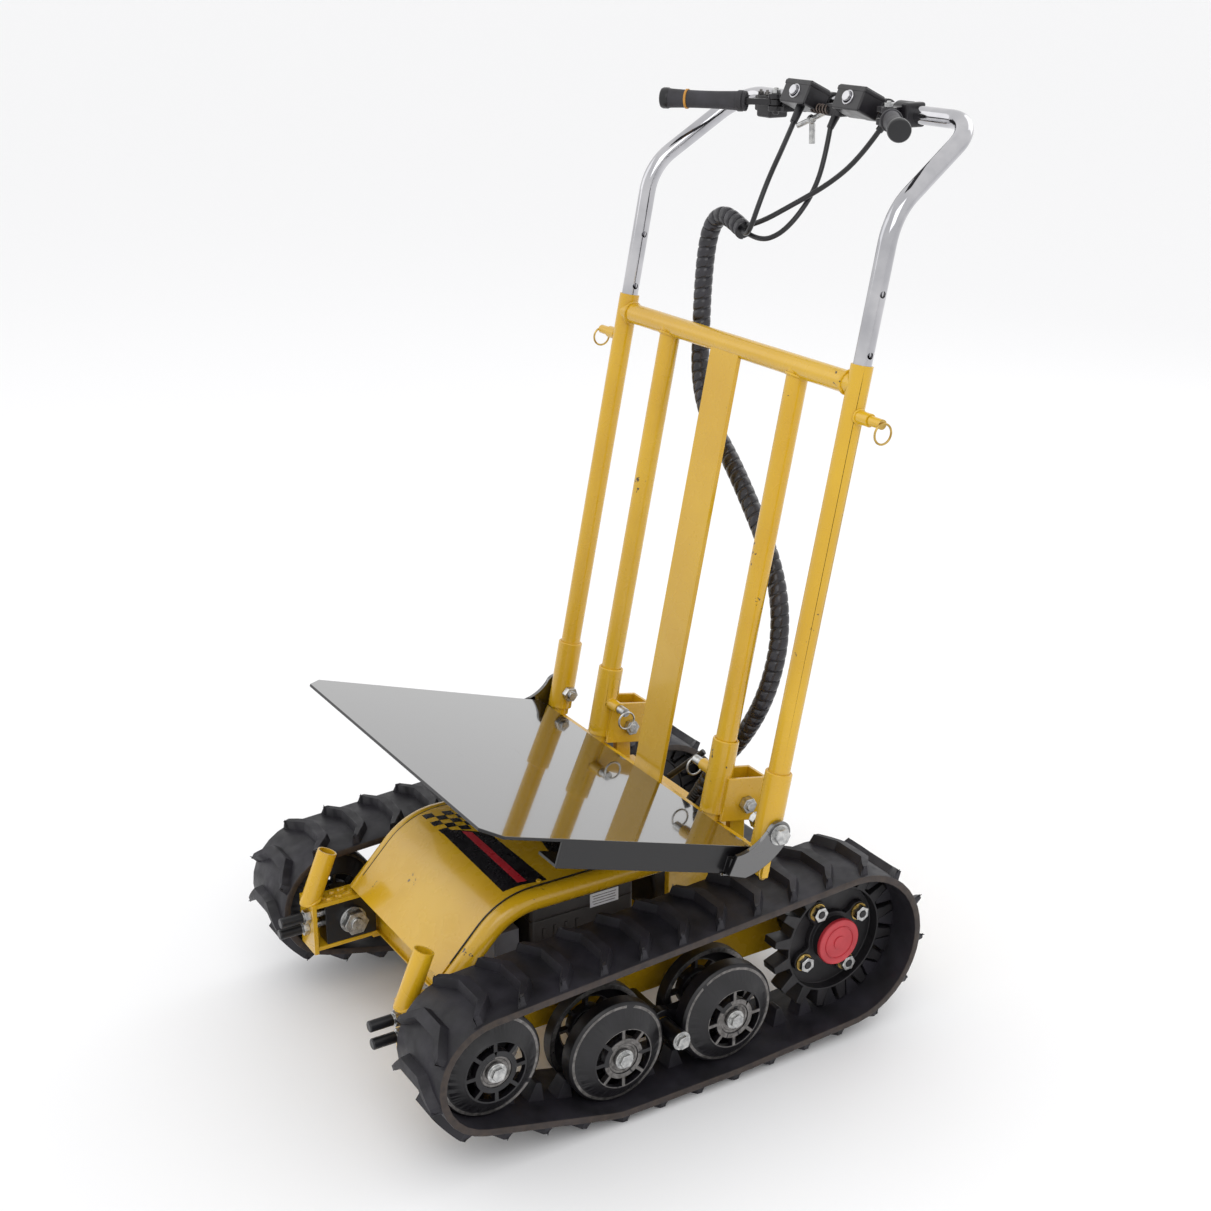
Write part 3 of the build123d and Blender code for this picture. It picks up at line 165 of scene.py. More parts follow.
def black_enamel(name, roughness=0.09, ior=1.7, coat=1.0):
    """Gloss black enamel on sheet steel: near-mirror, with hair scratches from sliding loads."""
    finish, tree, shader, place = start_finish(
        name, IOR=ior, Coat_Weight=coat, Coat_Roughness=0.03, Coat_IOR=1.9, Base_Color=linear("#0b0a0d")
    )
    # scratches are about 0.4 mm wide here, coarser than real so that they show
    along = grain(tree, place, 1.0, detail=2, stretch=(60, 1, 1))
    across = grain(tree, place, 1.0, detail=2, stretch=(1, 45, 1))
    both = add_node(tree, "ShaderNodeMath", {0: along, 1: across}, operation="MAXIMUM").outputs["Value"]
    spread = add_node(
        tree,
        "ShaderNodeMapRange",
        {"Value": both, "From Min": 0.68, "From Max": 0.8, "To Min": roughness, "To Max": 0.38},
    )
    tree.links.new(spread.outputs["Result"], shader.inputs["Roughness"])
    # the sheet isn't dead flat, so reflections waver slowly
    emboss(tree, shader, grain(tree, place, 55, detail=1), 0.12, 0.5)
    return finish


def track_rubber():
    """Moulded carbon-black rubber: matt charcoal, a bluish bloom and brown dust on the belt's cut edges."""
    finish, tree, shader, place = start_finish("moulded_rubber", IOR=1.42)
    blooming = {"Fac": grain(tree, place, 38, detail=5)}
    shades = ((0.3, "#121115"), (0.72, "#26242b"))
    bloom = add_node(tree, "ShaderNodeValToRGB", blooming, stops=shades).outputs["Color"]
    across = add_node(tree, "ShaderNodeSeparateXYZ", {"Vector": place}).outputs["X"]
    outward = add_node(tree, "ShaderNodeMath", {0: across}, operation="ABSOLUTE").outputs["Value"]
    offset = {0: outward, 1: BELT_X * MM}
    from_middle = add_node(tree, "ShaderNodeMath", offset, operation="SUBTRACT").outputs["Value"]
    reach = add_node(tree, "ShaderNodeMath", {0: from_middle}, operation="ABSOLUTE").outputs["Value"]
    edge = add_node(
        tree, "ShaderNodeMapRange", {"Value": reach, "From Min": 0.0555, "From Max": 0.0567, "To Max": 0.7}
    ).outputs["Result"]
    dusty = add_node(
        tree, "ShaderNodeMath", {0: edge, 1: grain(tree, place, 9, detail=4)}, operation="MULTIPLY"
    ).outputs["Value"]
    mixed = add_node(
        tree, "ShaderNodeMix", {0: dusty, 6: bloom, 7: linear("#54463a")}, data_type="RGBA"
    ).outputs[2]
    tree.links.new(mixed, shader.inputs["Base Color"])
    rough_between(tree, shader, grain(tree, place, 16, detail=4), 0.42, 0.62)
    # mould texture of about 1 mm
    emboss(tree, shader, grain(tree, place, 1.1, detail=3), 0.09)
    return finish


def moulded_plastic(name, colour, pale, roughness, texture_mm=0.9, depth=0.03):
    """Injection moulded plastic: one colour, a slight sheen and a fine even mould grain."""
    finish, tree, shader, place = start_finish(name, IOR=1.5)
    cloud = {"Fac": grain(tree, place, 30, detail=3)}
    tint = add_node(tree, "ShaderNodeValToRGB", cloud, stops=((0.3, colour), (0.75, pale))).outputs["Color"]
    tree.links.new(tint, shader.inputs["Base Color"])
    rough_between(tree, shader, grain(tree, place, 11, detail=3), roughness - 0.06, roughness + 0.06)
    emboss(tree, shader, grain(tree, place, texture_mm, detail=2), depth)
    return finish


def plated_steel(name, colour, pale, roughness, blotch=6.0):
    """Electroplated or bare steel: a metal with cloudy tint, tiny pits and handling marks."""
    finish, tree, shader, place = start_finish(name, Metallic=1.0)
    cloud = {"Fac": grain(tree, place, blotch, detail=4)}
    tint = add_node(tree, "ShaderNodeValToRGB", cloud, stops=((0.3, colour), (0.7, pale))).outputs["Color"]
    tree.links.new(tint, shader.inputs["Base Color"])
    rough_between(tree, shader, grain(tree, place, 2.5, detail=3), roughness * 0.75, roughness * 1.3)
    emboss(tree, shader, grain(tree, place, 0.7, detail=2), 0.01)
    return finish


YELLOW = yellow_enamel("yellow_enamel")
WORN_YELLOW = yellow_enamel("worn_yellow_enamel", chipped=True)
BLACK = black_enamel("black_enamel")
DULL_BLACK = black_enamel("satin_black_enamel", roughness=0.3, ior=1.45, coat=0.1)
RUBBER = track_rubber()
# nylon wheels: deep black with a soft satin gloss
NYLON = moulded_plastic("black_nylon", "#09080b", "#131116", 0.42, texture_mm=1.4, depth=0.02)
# die cast aluminium, sprayed black
CASTING = moulded_plastic("black_casting", "#100f12", "#1f1d20", 0.48, texture_mm=1.8, depth=0.12)
# battery and controller cases in dark grey ABS
ABS_CASE = moulded_plastic("abs_case", "#262220", "#322d2b", 0.42)
GREY_CASE = moulded_plastic("grey_abs", "#5b5a5e", "#6c6b70", 0.45)
CONTROL_ABS = moulded_plastic("control_abs", "#141316", "#242226", 0.33, texture_mm=0.7)
GRIP = moulded_plastic("grip_rubber", "#222023", "#35343a", 0.58, texture_mm=1.2, depth=0.12)
# PVC cable cover: black, smooth, slightly glossy
PVC = moulded_plastic("cable_pvc", "#0d0d10", "#18181c", 0.36)
# polyethylene spiral wrap: glossy grey-black
WRAP = moulded_plastic("spiral_wrap_polyethylene", "#17161a", "#2b2930", 0.27, texture_mm=3, depth=0.05)
RED = moulded_plastic("red_plastic", "#a82731", "#bf3a42", 0.38)
BAND = moulded_plastic("orange_band", "#b07a28", "#c78e38", 0.4)
WHITE = moulded_plastic("paper_label", "#c9c8cc", "#dededf", 0.5)
VINYL = moulded_plastic("black_vinyl", "#0f0d10", "#1a171b", 0.25)
RED_VINYL = moulded_plastic("red_vinyl", "#b0202c", "#c22d38", 0.3)
ZINC = plated_steel("zinc_plate", "#9a9b9c", "#d2d2d0", 0.32)
DARK_STEEL = plated_steel("oiled_steel", "#5d5b59", "#8a8785", 0.36)
YELLOW_ZINC = plated_steel("yellow_zinc", "#a8873f", "#d3b56c", 0.33)
CHROME = plated_steel("chrome_plate", "#adadb1", "#c6c5c8", 0.07, blotch=40)
BROWN_STEEL = plated_steel("brown_spring_steel", "#4b423e", "#756a64", 0.4)

# ---------------------------------------------------------------- modelling helpers


def at(x, y, z):
    """A place given in millimetres, in metres."""
    return Vector((x, y, z)) * MM


def only(piece):
    """Makes a piece the one selected and active object."""
    bpy.ops.object.select_all(action="DESELECT")
    piece.select_set(True)
    bpy.context.view_layer.objects.active = piece


def settle(piece, name):
    """Names a piece and moves its place, turn and size into its mesh."""
    only(piece)
    bpy.ops.object.transform_apply(location=True, rotation=True, scale=True)
    piece.name = name
    return piece


def soften(piece, width, segments=2, angle=35, clamp=False):
    """Rounds a piece's sharp edges by width millimetres and smooths its shading."""
    only(piece)
    rounding = piece.modifiers.new("rounding", "BEVEL")
    rounding.width = width * MM
    rounding.segments = segments
    rounding.limit_method = "ANGLE"
    rounding.angle_limit = radians(angle)
    rounding.use_clamp_overlap = clamp
    bpy.ops.object.modifier_apply(modifier=rounding.name)
    bpy.ops.object.shade_smooth_by_angle(angle=radians(40))
    flatten = piece.modifiers.new("flat faces stay flat", "WEIGHTED_NORMAL")
    flatten.keep_sharp = True
    bpy.ops.object.modifier_apply(modifier=flatten.name)


def finish_piece(piece, finish, body, replaced=()):
    """Gives a piece its material and slot and the body that it moves with, and hides the CAD nodes it stands
    for.
    """
    if not piece.data.materials:
        piece.data.materials.append(finish)
    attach(piece, body)
    if replaced:
        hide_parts(*replaced)
    return piece


def repaint(piece, finish, test):
    """Gives the faces whose middle passes the test another finish."""
    piece.data.materials.append(finish)
    index = len(piece.data.materials) - 1
    for face in piece.data.polygons:
        if test(face.center / MM, face.normal):
            face.material_index = index


def body_of_node(node):
    return frame["nodes"][node]["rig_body"]


def refined(node, finish, width, segments=2, angle=35):
    """The CAD node's shape with its triangles merged and its edges rounded, in place of the node."""
    source = frame["nodes"][node]
    piece = source.copy()
    piece.data = source.data.copy()
    piece.data.materials.clear()
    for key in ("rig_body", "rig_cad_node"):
        del piece[key]
    piece.parent = None
    piece.name = node + "_finished"
    bpy.context.scene.collection.objects.link(piece)
    only(piece)
    bpy.ops.object.mode_set(mode="EDIT")
    bpy.ops.mesh.select_all(action="SELECT")
    bpy.ops.mesh.remove_doubles(threshold=1e-5)
    bpy.ops.mesh.dissolve_limited(angle_limit=radians(0.4))
    bpy.ops.object.mode_set(mode="OBJECT")
    if width:
        soften(piece, width, segments, angle)
    else:
        bpy.ops.object.shade_smooth_by_angle(angle=radians(30))
    return finish_piece(piece, finish, body_of_node(node), (node,))


def pick(piece, kind, test):
    """Selects the piece's faces or edges that pass the test and stays in edit mode."""
    only(piece)
    bpy.ops.object.mode_set(mode="EDIT")
    bpy.ops.mesh.select_mode(type="FACE" if kind == "polygons" else "EDGE")
    bpy.ops.mesh.select_all(action="DESELECT")
    bpy.ops.object.mode_set(mode="OBJECT")
    for item in getattr(piece.data, kind):
        item.select = test(item)
    bpy.ops.object.mode_set(mode="EDIT")


def join(pieces, name):
    """Several pieces as one mesh."""
    bpy.ops.object.select_all(action="DESELECT")
    for piece in pieces:
        piece.select_set(True)
    bpy.context.view_layer.objects.active = pieces[0]
    bpy.ops.object.join()
    pieces[0].name = name
    return pieces[0]


def turned_to(direction):
    """The turn that points a primitive's own Z along a direction."""
    return Vector(direction).to_track_quat("Z", "Y").to_euler()


def rod(name, start, end, radius, chamfer=0.8, sides=32, end_radius=None):
    """A round bar between two places, its ends chamfered; end_radius makes it taper."""
    start, end = at(*start), at(*end)
    bpy.ops.object.select_all(action="DESELECT")
    bpy.ops.mesh.primitive_cone_add(
        vertices=sides,
        radius1=radius * MM,
        radius2=(radius if end_radius is None else end_radius) * MM,
        depth=(end - start).length,
        location=(start + end) / 2,
        rotation=turned_to(end - start),
    )
    piece = settle(bpy.context.object, name)
    soften(piece, chamfer, angle=50)
    return piece


def nut(name, start, end, half_flat, turn=0.0):
    """A hexagon nut between two places, its corners chamfered and a threaded end showing in its face."""
    start, end = at(*start), at(*end)
    axis = (end - start).normalized()
    bpy.ops.object.select_all(action="DESELECT")
    bpy.ops.mesh.primitive_cylinder_add(
        vertices=6,
        radius=half_flat * MM / cos(pi / 6),
        depth=(end - start).length,
        location=(start + end) / 2,
        rotation=(axis.to_track_quat("Z", "Y") @ Matrix.Rotation(turn, 3, "Z").to_quaternion()).to_euler(),
    )
    piece = settle(bpy.context.object, name)
    soften(piece, half_flat * 0.13)
    inner, outer = tuple((end - axis * 0.002) / MM), tuple((end + axis * 0.0025) / MM)
    stud = rod(name + "_stud", inner, outer, half_flat * 0.52, 0.7, 20)
    return join([piece, stud], name)


def block(name, centre, size, turn=(0, 0, 0), chamfer=1.0, segments=2):
    """A slab at a place, turned, with rounded edges."""
    bpy.ops.object.select_all(action="DESELECT")
    bpy.ops.mesh.primitive_cube_add(size=1, location=at(*centre), rotation=turn)
    bpy.context.object.scale = at(*size)
    piece = settle(bpy.context.object, name)
    soften(piece, chamfer, segments)
    return piece


def hoop(name, centre, direction, radius, wire, sides=40):
    """A ring of round wire about a direction."""
    bpy.ops.object.select_all(action="DESELECT")
    bpy.ops.mesh.primitive_torus_add(
        location=at(*centre),
        rotation=turned_to(direction),
        major_radius=radius * MM,
        minor_radius=wire * MM,
        major_segments=sides,
        minor_segments=12,
    )
    piece = settle(bpy.context.object, name)
    bpy.ops.object.shade_smooth()
    return piece


def line_curve(name, points, radius, closed=False, order=3, resolution=10):
    """A round wire through control points, as a NURBS curve in metres."""
    data = bpy.data.curves.new(name, "CURVE")
    data.dimensions = "3D"
    data.resolution_u = resolution
    data.bevel_depth = radius * MM
    data.bevel_resolution = 5
    data.use_fill_caps = True
    spline = data.splines.new("NURBS")
    spline.points.add(len(points) - 1)
    for control, place in zip(spline.points, points):
        control.co = (*at(*place), 1)
    spline.order_u = order
    spline.use_cyclic_u = closed
    spline.use_endpoint_u = not closed
    piece = bpy.data.objects.new(name, data)
    bpy.context.scene.collection.objects.link(piece)
    return piece


def meshed(piece):
    """A curve turned into a mesh."""
    only(piece)
    bpy.ops.object.convert(target="MESH")
    return bpy.context.object


def weld(name, points, radius=2.6, closed=False, lumps=1.2):
    """A weld bead along points: a wire whose surface rises and falls in ripples."""
    bead = meshed(line_curve(name, points, radius, closed, resolution=14))
    only(bead)
    ripple = bpy.data.textures.new(name + "_ripple", "CLOUDS")
    ripple.noise_scale = 0.004
    swell = bead.modifiers.new("ripple", "DISPLACE")
    swell.texture = ripple
    swell.strength = lumps * MM
    swell.mid_level = 0.4
    bpy.ops.object.modifier_apply(modifier=swell.name)
    bpy.ops.object.shade_smooth()
    return bead


# ---------------------------------------------------------------- the cart's planes

LEAN = radians(11.17)
PITCH = radians(17.5)
PLATE_EDGE_Y, PLATE_EDGE_Z = 68, 314  # the rear edge of the plate\'s top face


def around(count):
    """Evenly spaced angles round a full turn."""
    return [k * pi / (count / 2) for k in range(count)]


def on_frame(across, back, up):
    """A place across, behind and along the leaning back frame."""
    return (across, 95.7 + back * cos(LEAN) + up * sin(LEAN), 313.6 - back * sin(LEAN) + up * cos(LEAN))


def on_plate(across, along, above):
    """A place across, back along and above the load plate's rear edge."""
    behind = along * cos(PITCH) + above * sin(PITCH)
    higher = above * cos(PITCH) - along * sin(PITCH)
    return (across, PLATE_EDGE_Y + behind, PLATE_EDGE_Z + higher)


# ---------------------------------------------------------------- tracks

BELT_WIDTH = 114.0
BELT_THICK = 9.4
LUG_HEIGHT = 12.0
LUG_PITCH = 54.0
LUG_START_Y = -208.0
guides = [(-296.5, 132.3, 67.6), (-124.4, 89.0, 67.6), (38.0, 89.0, 67.6), (218.3, 130.0, 99.6)]
normals, runs = [], []
for (y1, z1, r1), (y2, z2, r2) in zip(guides, guides[1:] + guides[:1]):
    distance = hypot(y2 - y1, z2 - z1)
    normals.append(atan2(z2 - z1, y2 - y1) - pi / 2 + asin((r1 - r2) / distance))
    runs.append((distance**2 - (r1 - r2) ** 2) ** 0.5)
turns = [(normals[i] - normals[i - 1]) % (2 * pi) for i in range(len(guides))]
arcs = [turn * (guide[2] + BELT_THICK / 2) for turn, guide in zip(turns, guides)]
belt_length = sum(runs) + sum(arcs)


def belt_place(distance):
    """The belt's inner face at a distance along it: y, z and the angle of its outward normal."""
    distance %= belt_length
    for i, (y, z, r) in enumerate(guides):
        if distance <= arcs[i]:
            angle = normals[i - 1] + distance / (r + BELT_THICK / 2)
            return y + r * cos(angle), z + r * sin(angle), angle
        distance -= arcs[i]
        if distance <= runs[i]:
            angle = normals[i]
            return (
                y + r * cos(angle) - distance * sin(angle),
                z + r * sin(angle) + distance * cos(angle),
                angle,
            )
        distance -= runs[i]
    return belt_place(0)


def wrap(piece, start, side):
    """Lays a flat piece (x across, y along the belt, z out from its inner face) round the belt's path."""
    for vertex in piece.data.vertices:
        across, along, out = vertex.co / MM
        y, z, angle = belt_place(start + along)
        vertex.co = at(side * (BELT_X + across), y + out * cos(angle), z + out * sin(angle))
    only(piece)
    bpy.ops.object.mode_set(mode="EDIT")
    bpy.ops.mesh.select_all(action="SELECT")
    bpy.ops.mesh.remove_doubles(threshold=1e-5)
    bpy.ops.mesh.normals_make_consistent(inside=False)
    bpy.ops.object.mode_set(mode="OBJECT")


def flat_lug():
    """One lug laid flat: an arch of three arms with sloping flanks, low feet and a rounded top."""
    bpy.ops.object.select_all(action="DESELECT")
    bpy.ops.mesh.primitive_plane_add(size=1, location=at(0, 20, BELT_THICK - 1.5))
    piece = bpy.context.object
    piece.scale = at(46, 19, 1)
    settle(piece, "lug")
    bpy.ops.object.mode_set(mode="EDIT")
    for hand in (1, -1):
        for reach, drop, width in ((15, -11, 0.9), (15.5, -10.5, 0.72)):
            bpy.ops.object.mode_set(mode="OBJECT")
            furthest = max(hand * v.co.x for v in piece.data.vertices)
            pick(
                piece,
                "edges",
                lambda edge: min(piece.data.vertices[i].co.x * hand for i in edge.vertices) > furthest - 1e-5,
            )
            step = {"value": tuple(at(hand * reach, drop, 0))}
            bpy.ops.mesh.extrude_edges_move(TRANSFORM_OT_translate=step)
            bpy.ops.transform.resize(value=(1, width, 1))
    bpy.ops.mesh.select_mode(type="FACE")
    bpy.ops.mesh.select_all(action="SELECT")
    bpy.ops.mesh.normals_make_consistent(inside=False)
    bpy.ops.mesh.subdivide(number_cuts=2)
    bpy.ops.mesh.inset(thickness=3.2 * MM, use_boundary=True)
    bpy.ops.transform.translate(value=tuple(at(0, 0, LUG_HEIGHT + 1.0)))
    bpy.ops.object.mode_set(mode="OBJECT")
    if min(v.co.z for v in piece.data.vertices) < 0:
        raise SystemExit("the lug was raised the wrong way")
    soften(piece, 1.2, segments=2, angle=25, clamp=True)
    return piece


def flat_horn():
    """One drive horn laid flat: a blunt pyramid standing into the loop."""
    bpy.ops.object.select_all(action="DESELECT")
    bpy.ops.mesh.primitive_cube_add(size=1, location=at(0, 0, -10))
    piece = bpy.context.object
    piece.scale = at(24, 25, 26)
    settle(piece, "horn")
    pick(piece, "polygons", lambda face: face.normal.z < -0.9)
    bpy.ops.transform.resize(value=(0.8, 0.3, 1))
    bpy.ops.object.mode_set(mode="OBJECT")
    soften(piece, 1.5)
    return piece


HAIR_LENGTH = 6
HAIR_BEND_LENGTH = 14  # a hair this long would bend by the whole of its drawn bend
HAIR_X = 51  # out from the belt's middle


def flat_whisker():
    """A short tapered hair of mould flash, standing on its foot."""
    bpy.ops.object.select_all(action="DESELECT")
    bpy.ops.mesh.primitive_cone_add(
        vertices=8,
        radius1=0.9 * MM,
        radius2=0.4 * MM,
        depth=HAIR_LENGTH * MM,
        location=at(0, 0, HAIR_LENGTH / 2),
    )
    piece = settle(bpy.context.object, "whisker")
    bpy.ops.object.shade_smooth()
    return piece


def copied(piece):
    """A copy of a piece with its own mesh."""
    twin = piece.copy()
    twin.data = piece.data.copy()
    bpy.context.scene.collection.objects.link(twin)
    return twin


top_start = belt_length - runs[3]
top_y = guides[3][0] + guides[3][2] * cos(normals[3])
lug_start = top_start + (top_y - LUG_START_Y) / sin(normals[3])
lug_count = round(belt_length / LUG_PITCH)
sprocket_start = sum(arcs[:3]) + sum(runs[:3])
sprocket_rear = sprocket_start + ((-normals[2]) % (2 * pi)) * (guides[3][2] + BELT_THICK / 2)
horn_count = round(belt_length / ((guides[3][2] + BELT_THICK / 2) * 2 * pi / 16))

lug_model, horn_model, whisker_model = flat_lug(), flat_horn(), flat_whisker()
for side_name, side in SIDES:
    bpy.ops.object.select_all(action="DESELECT")
    bpy.ops.mesh.primitive_cube_add(size=1, location=at(0, belt_length / 2, BELT_THICK / 2))
    belt = bpy.context.object
    belt.scale = at(BELT_WIDTH, belt_length, BELT_THICK)
    settle(belt, "belt")
    pick(belt, "polygons", lambda face: abs(face.normal.y) > 0.9)
    bpy.ops.mesh.delete(type="ONLY_FACE")
    bpy.ops.object.mode_set(mode="OBJECT")

    def runs_along(edge):
        ends = [belt.data.vertices[i].co.y for i in edge.vertices]
        return abs(ends[0] - ends[1]) > 0.1

    pick(belt, "edges", runs_along)
    bpy.ops.mesh.bevel(offset=1.6 * MM, segments=2)
    bpy.ops.object.mode_set(mode="OBJECT")
    pick(belt, "edges", runs_along)
    bpy.ops.mesh.subdivide(number_cuts=259)
    bpy.ops.object.mode_set(mode="OBJECT")
    wrap(belt, 0, side)
    bpy.ops.object.shade_smooth_by_angle(angle=radians(40))
    members = [belt]
    for i in range(lug_count):
        start = lug_start + i * belt_length / lug_count
        # each lug is mirrored end for end, so that its arch points the other way along the belt
        lug = copied(lug_model)
        for vertex in lug.data.vertices:
            vertex.co.y = -vertex.co.y
        wrap(lug, start, side)
        members.append(lug)
        for edge_x in (-HAIR_X, HAIR_X):
            hair = copied(whisker_model)
            tall = draw.uniform(0.45, 1.0)
            bend_x, bend_y = draw.uniform(-1, 5) * (1 if edge_x > 0 else -1), draw.uniform(-5, 2)
            for vertex in hair.data.vertices:
                height = vertex.co.z / (HAIR_BEND_LENGTH * MM)
                vertex.co = (
                    vertex.co.x + (edge_x + bend_x * height**2) * MM,
                    vertex.co.y + (2 + bend_y * height**2) * MM,
                    vertex.co.z * tall + (BELT_THICK + LUG_HEIGHT - 4) * MM,
                )
            y, z, angle = belt_place(start)
            # no hair where the lugs press on the ground
            if z + (BELT_THICK + LUG_HEIGHT + HAIR_BEND_LENGTH) * sin(angle) < 3:
                bpy.data.objects.remove(hair)
                continue
            wrap(hair, start, side)
            members.append(hair)
    for i in range(horn_count):
        horn = copied(horn_model)
        wrap(horn, sprocket_rear + i * belt_length / horn_count, side)
        members.append(horn)
    track = join(members, "rubber_track_" + side_name)
    finish_piece(track, RUBBER, "chassis", ("track_" + side_name,))
for model in (lug_model, horn_model, whisker_model):
    bpy.data.objects.remove(model)

# ---------------------------------------------------------------- wheels, bogies and drive


def from_axle(point, y, z):
    return hypot(point.y - y, point.z - z)


IDLER = (-296.5, 132.3)
ROAD_FRONT = (-124.4, 89.0)
ROAD_REAR = (38.0, 89.0)
SPROCKET = (218.3, 130.0)
WHEELS = (("idler_wheel", IDLER), ("road_wheel_front", ROAD_FRONT), ("road_wheel_rear", ROAD_REAR))
for side_name, side in SIDES:
    for node, (y, z) in WHEELS:
        wheel = refined(f"{node}_{side_name}", NYLON, 0.6)
        # bearing rings of ground steel round a black rubber seal
        repaint(wheel, DARK_STEEL, lambda p, n: from_axle(p, y, z) < 20.02)
        repaint(wheel, PVC, lambda p, n: 11.6 < from_axle(p, y, z) < 16.9 and abs(n.x) > 0.8)
    refined(f"sprocket_{side_name}", CASTING, 1.2)
    refined(f"drive_hub_{side_name}", CASTING, 1.0)
    refined(f"hub_cap_{side_name}", RED, 0.4)
    # a plain moulded rim on the cap
    face_x = side * 254.4
    ring = hoop("cap_rim_" + side_name, (face_x, *SPROCKET), (1, 0, 0), 22, 0.9)
    finish_piece(ring, RED, "drive_" + side_name)
    boss = rod("cap_boss_" + side_name, (face_x - side, *SPROCKET), (face_x + side * 0.9, *SPROCKET), 9, 0.6)
    finish_piece(boss, RED, "drive_" + side_name)
    refined(f"lug_nuts_{side_name}", ZINC, 0.8)
    for k in range(4):
        angle = radians(29.5 + 90 * k)
        place = (SPROCKET[0] + 50 * cos(angle), SPROCKET[1] + 50 * sin(angle))
        washer = rod(
            f"stud_washer_{side_name}_{k}", (side * 235.5, *place), (side * 238, *place), 12, 0.5
        )
        finish_piece(washer, YELLOW_ZINC, "drive_" + side_name)
    refined(f"idler_carrier_{side_name}", DULL_BLACK, 0.8)
    refined(f"idler_spindle_{side_name}", ZINC, 0.7)
    refined(f"bogie_beam_{side_name}", DULL_BLACK, 1.5)
    refined(f"bogie_bolts_{side_name}", ZINC, 0.5)
    sleeve = rod(
        "pivot_sleeve_" + side_name, (side * 161, -42, 86), (side * 221, -42, 86), 11.2, 0.8
    )
    finish_piece(sleeve, DULL_BLACK, "chassis")
    outer_sleeve = rod(
        "pivot_spacer_" + side_name, (side * 236.6, -42, 86), (side * 276.2, -42, 86), 11.2, 0.8
    )
    finish_piece(outer_sleeve, DULL_BLACK, "chassis")

# ---------------------------------------------------------------- chassis, tensioners and hood

for node, finish, width in (
    ("chassis_frame", YELLOW, 1.0),
    ("hood_panel", YELLOW, 0.5),
    ("hood_rails", YELLOW, 0.6),
    ("battery_case", ABS_CASE, 1.2),
    ("motor_controller", GREY_CASE, 1.5),
    ("gearbox", CASTING, 2.0),
    ("drive_motor", CASTING, 0.8),
    ("frame_bolts", ZINC, 0.6),
    ("hinge_brackets", YELLOW, 0.8),
    ("outer_uprights", YELLOW, 0.6),
    ("inner_uprights", WORN_YELLOW, 0.3),
    ("crossbar", YELLOW, 0.3),
    ("centre_bar", YELLOW, 0.7),
    ("load_plate", BLACK, 0.7),
    ("plate_bolts", ZINC, 0.8),
    ("handle_bar", CHROME, 0.3),
    ("control_boxes", CONTROL_ABS, 1.0),
    ("lever_perches", CONTROL_ABS, 0.8),
):
    refined(node, finish, width)


def below_bed(point, normal):
    """True off the load plate's glossy top face: its edges, channels and arms are satin."""
    return (point.y - PLATE_EDGE_Y) * sin(PITCH) + (point.z - PLATE_EDGE_Z) * cos(PITCH) < -0.4


repaint(bpy.data.objects["load_plate_finished"], DULL_BLACK, below_bed)
for side_name, side in SIDES:
    bracket = refined(f"tension_bracket_{side_name}", YELLOW, 0.5)
    repaint(bracket, ZINC, lambda p, n: p.y < -352.3 and p.z < 160)
    screws = refined(f"tension_screws_{side_name}", ZINC, 0.4)
    repaint(screws, PVC, lambda p, n: p.y < -361.5)
    refined(f"push_button_{side_name}", CHROME, 0.3)
    refined(f"hand_lever_{side_name}", CONTROL_ABS, 0.9)
    refined(f"lever_grip_{side_name}", GRIP, 1.5)
    pin = refined(f"handle_pin_{side_name}", YELLOW, 0.4)
    repaint(pin, YELLOW_ZINC, lambda p, n: abs(p.x) > 303.5)
    refined(f"tube_pin_{side_name}", ZINC, 0.4)
    # weld spatter along the bracket's top flange
    for k in range(16):
        y = -332 + 4.3 * k + draw.uniform(-1, 1)
        x = side * (139 + draw.uniform(-8, 10))
        size = draw.uniform(1.4, 3.1)
        run = ((x, y, 166.4), (x + size, y + 2 * size, 166.6), (x, y + 3.4 * size, 166.3))
        spot = weld(f"spatter_{side_name}_{k}", run, size, lumps=2)
        finish_piece(spot, YELLOW, "chassis")
    foot = [
        (side * 143 + 14 * cos(a), -346 + 13.6 * sin(a) + 0.5, 167.4 + 4.2 * sin(a))
        for a in around(16)
    ]
    bead = weld("stake_weld_" + side_name, foot, 2.0, closed=True)
    finish_piece(bead, YELLOW, "chassis")


# ---------------------------------------------------------------- hood trim and what shows under it

HOOD_TOP = 262.5
HOOD_ARC = (-165.8, 159.0, 103.5)  # the bend's centre and its outer radius
HOOD_SLOPE = radians(46.05)


def on_hood(x, y, above=0.0):
    """A place on the hood's outer face; in front of the bend, y counts along the sheet."""
    centre_y, centre_z, radius = HOOD_ARC
    if y >= centre_y:
        return (x, y, HOOD_TOP + above)
    turn = min((centre_y - y) / radius, HOOD_SLOPE)
    rest = (centre_y - y) - turn * radius
    out = radius + above
    return (
        x,
        centre_y - out * sin(turn) - rest * cos(HOOD_SLOPE),
        centre_z + out * cos(turn) - rest * sin(HOOD_SLOPE),
    )


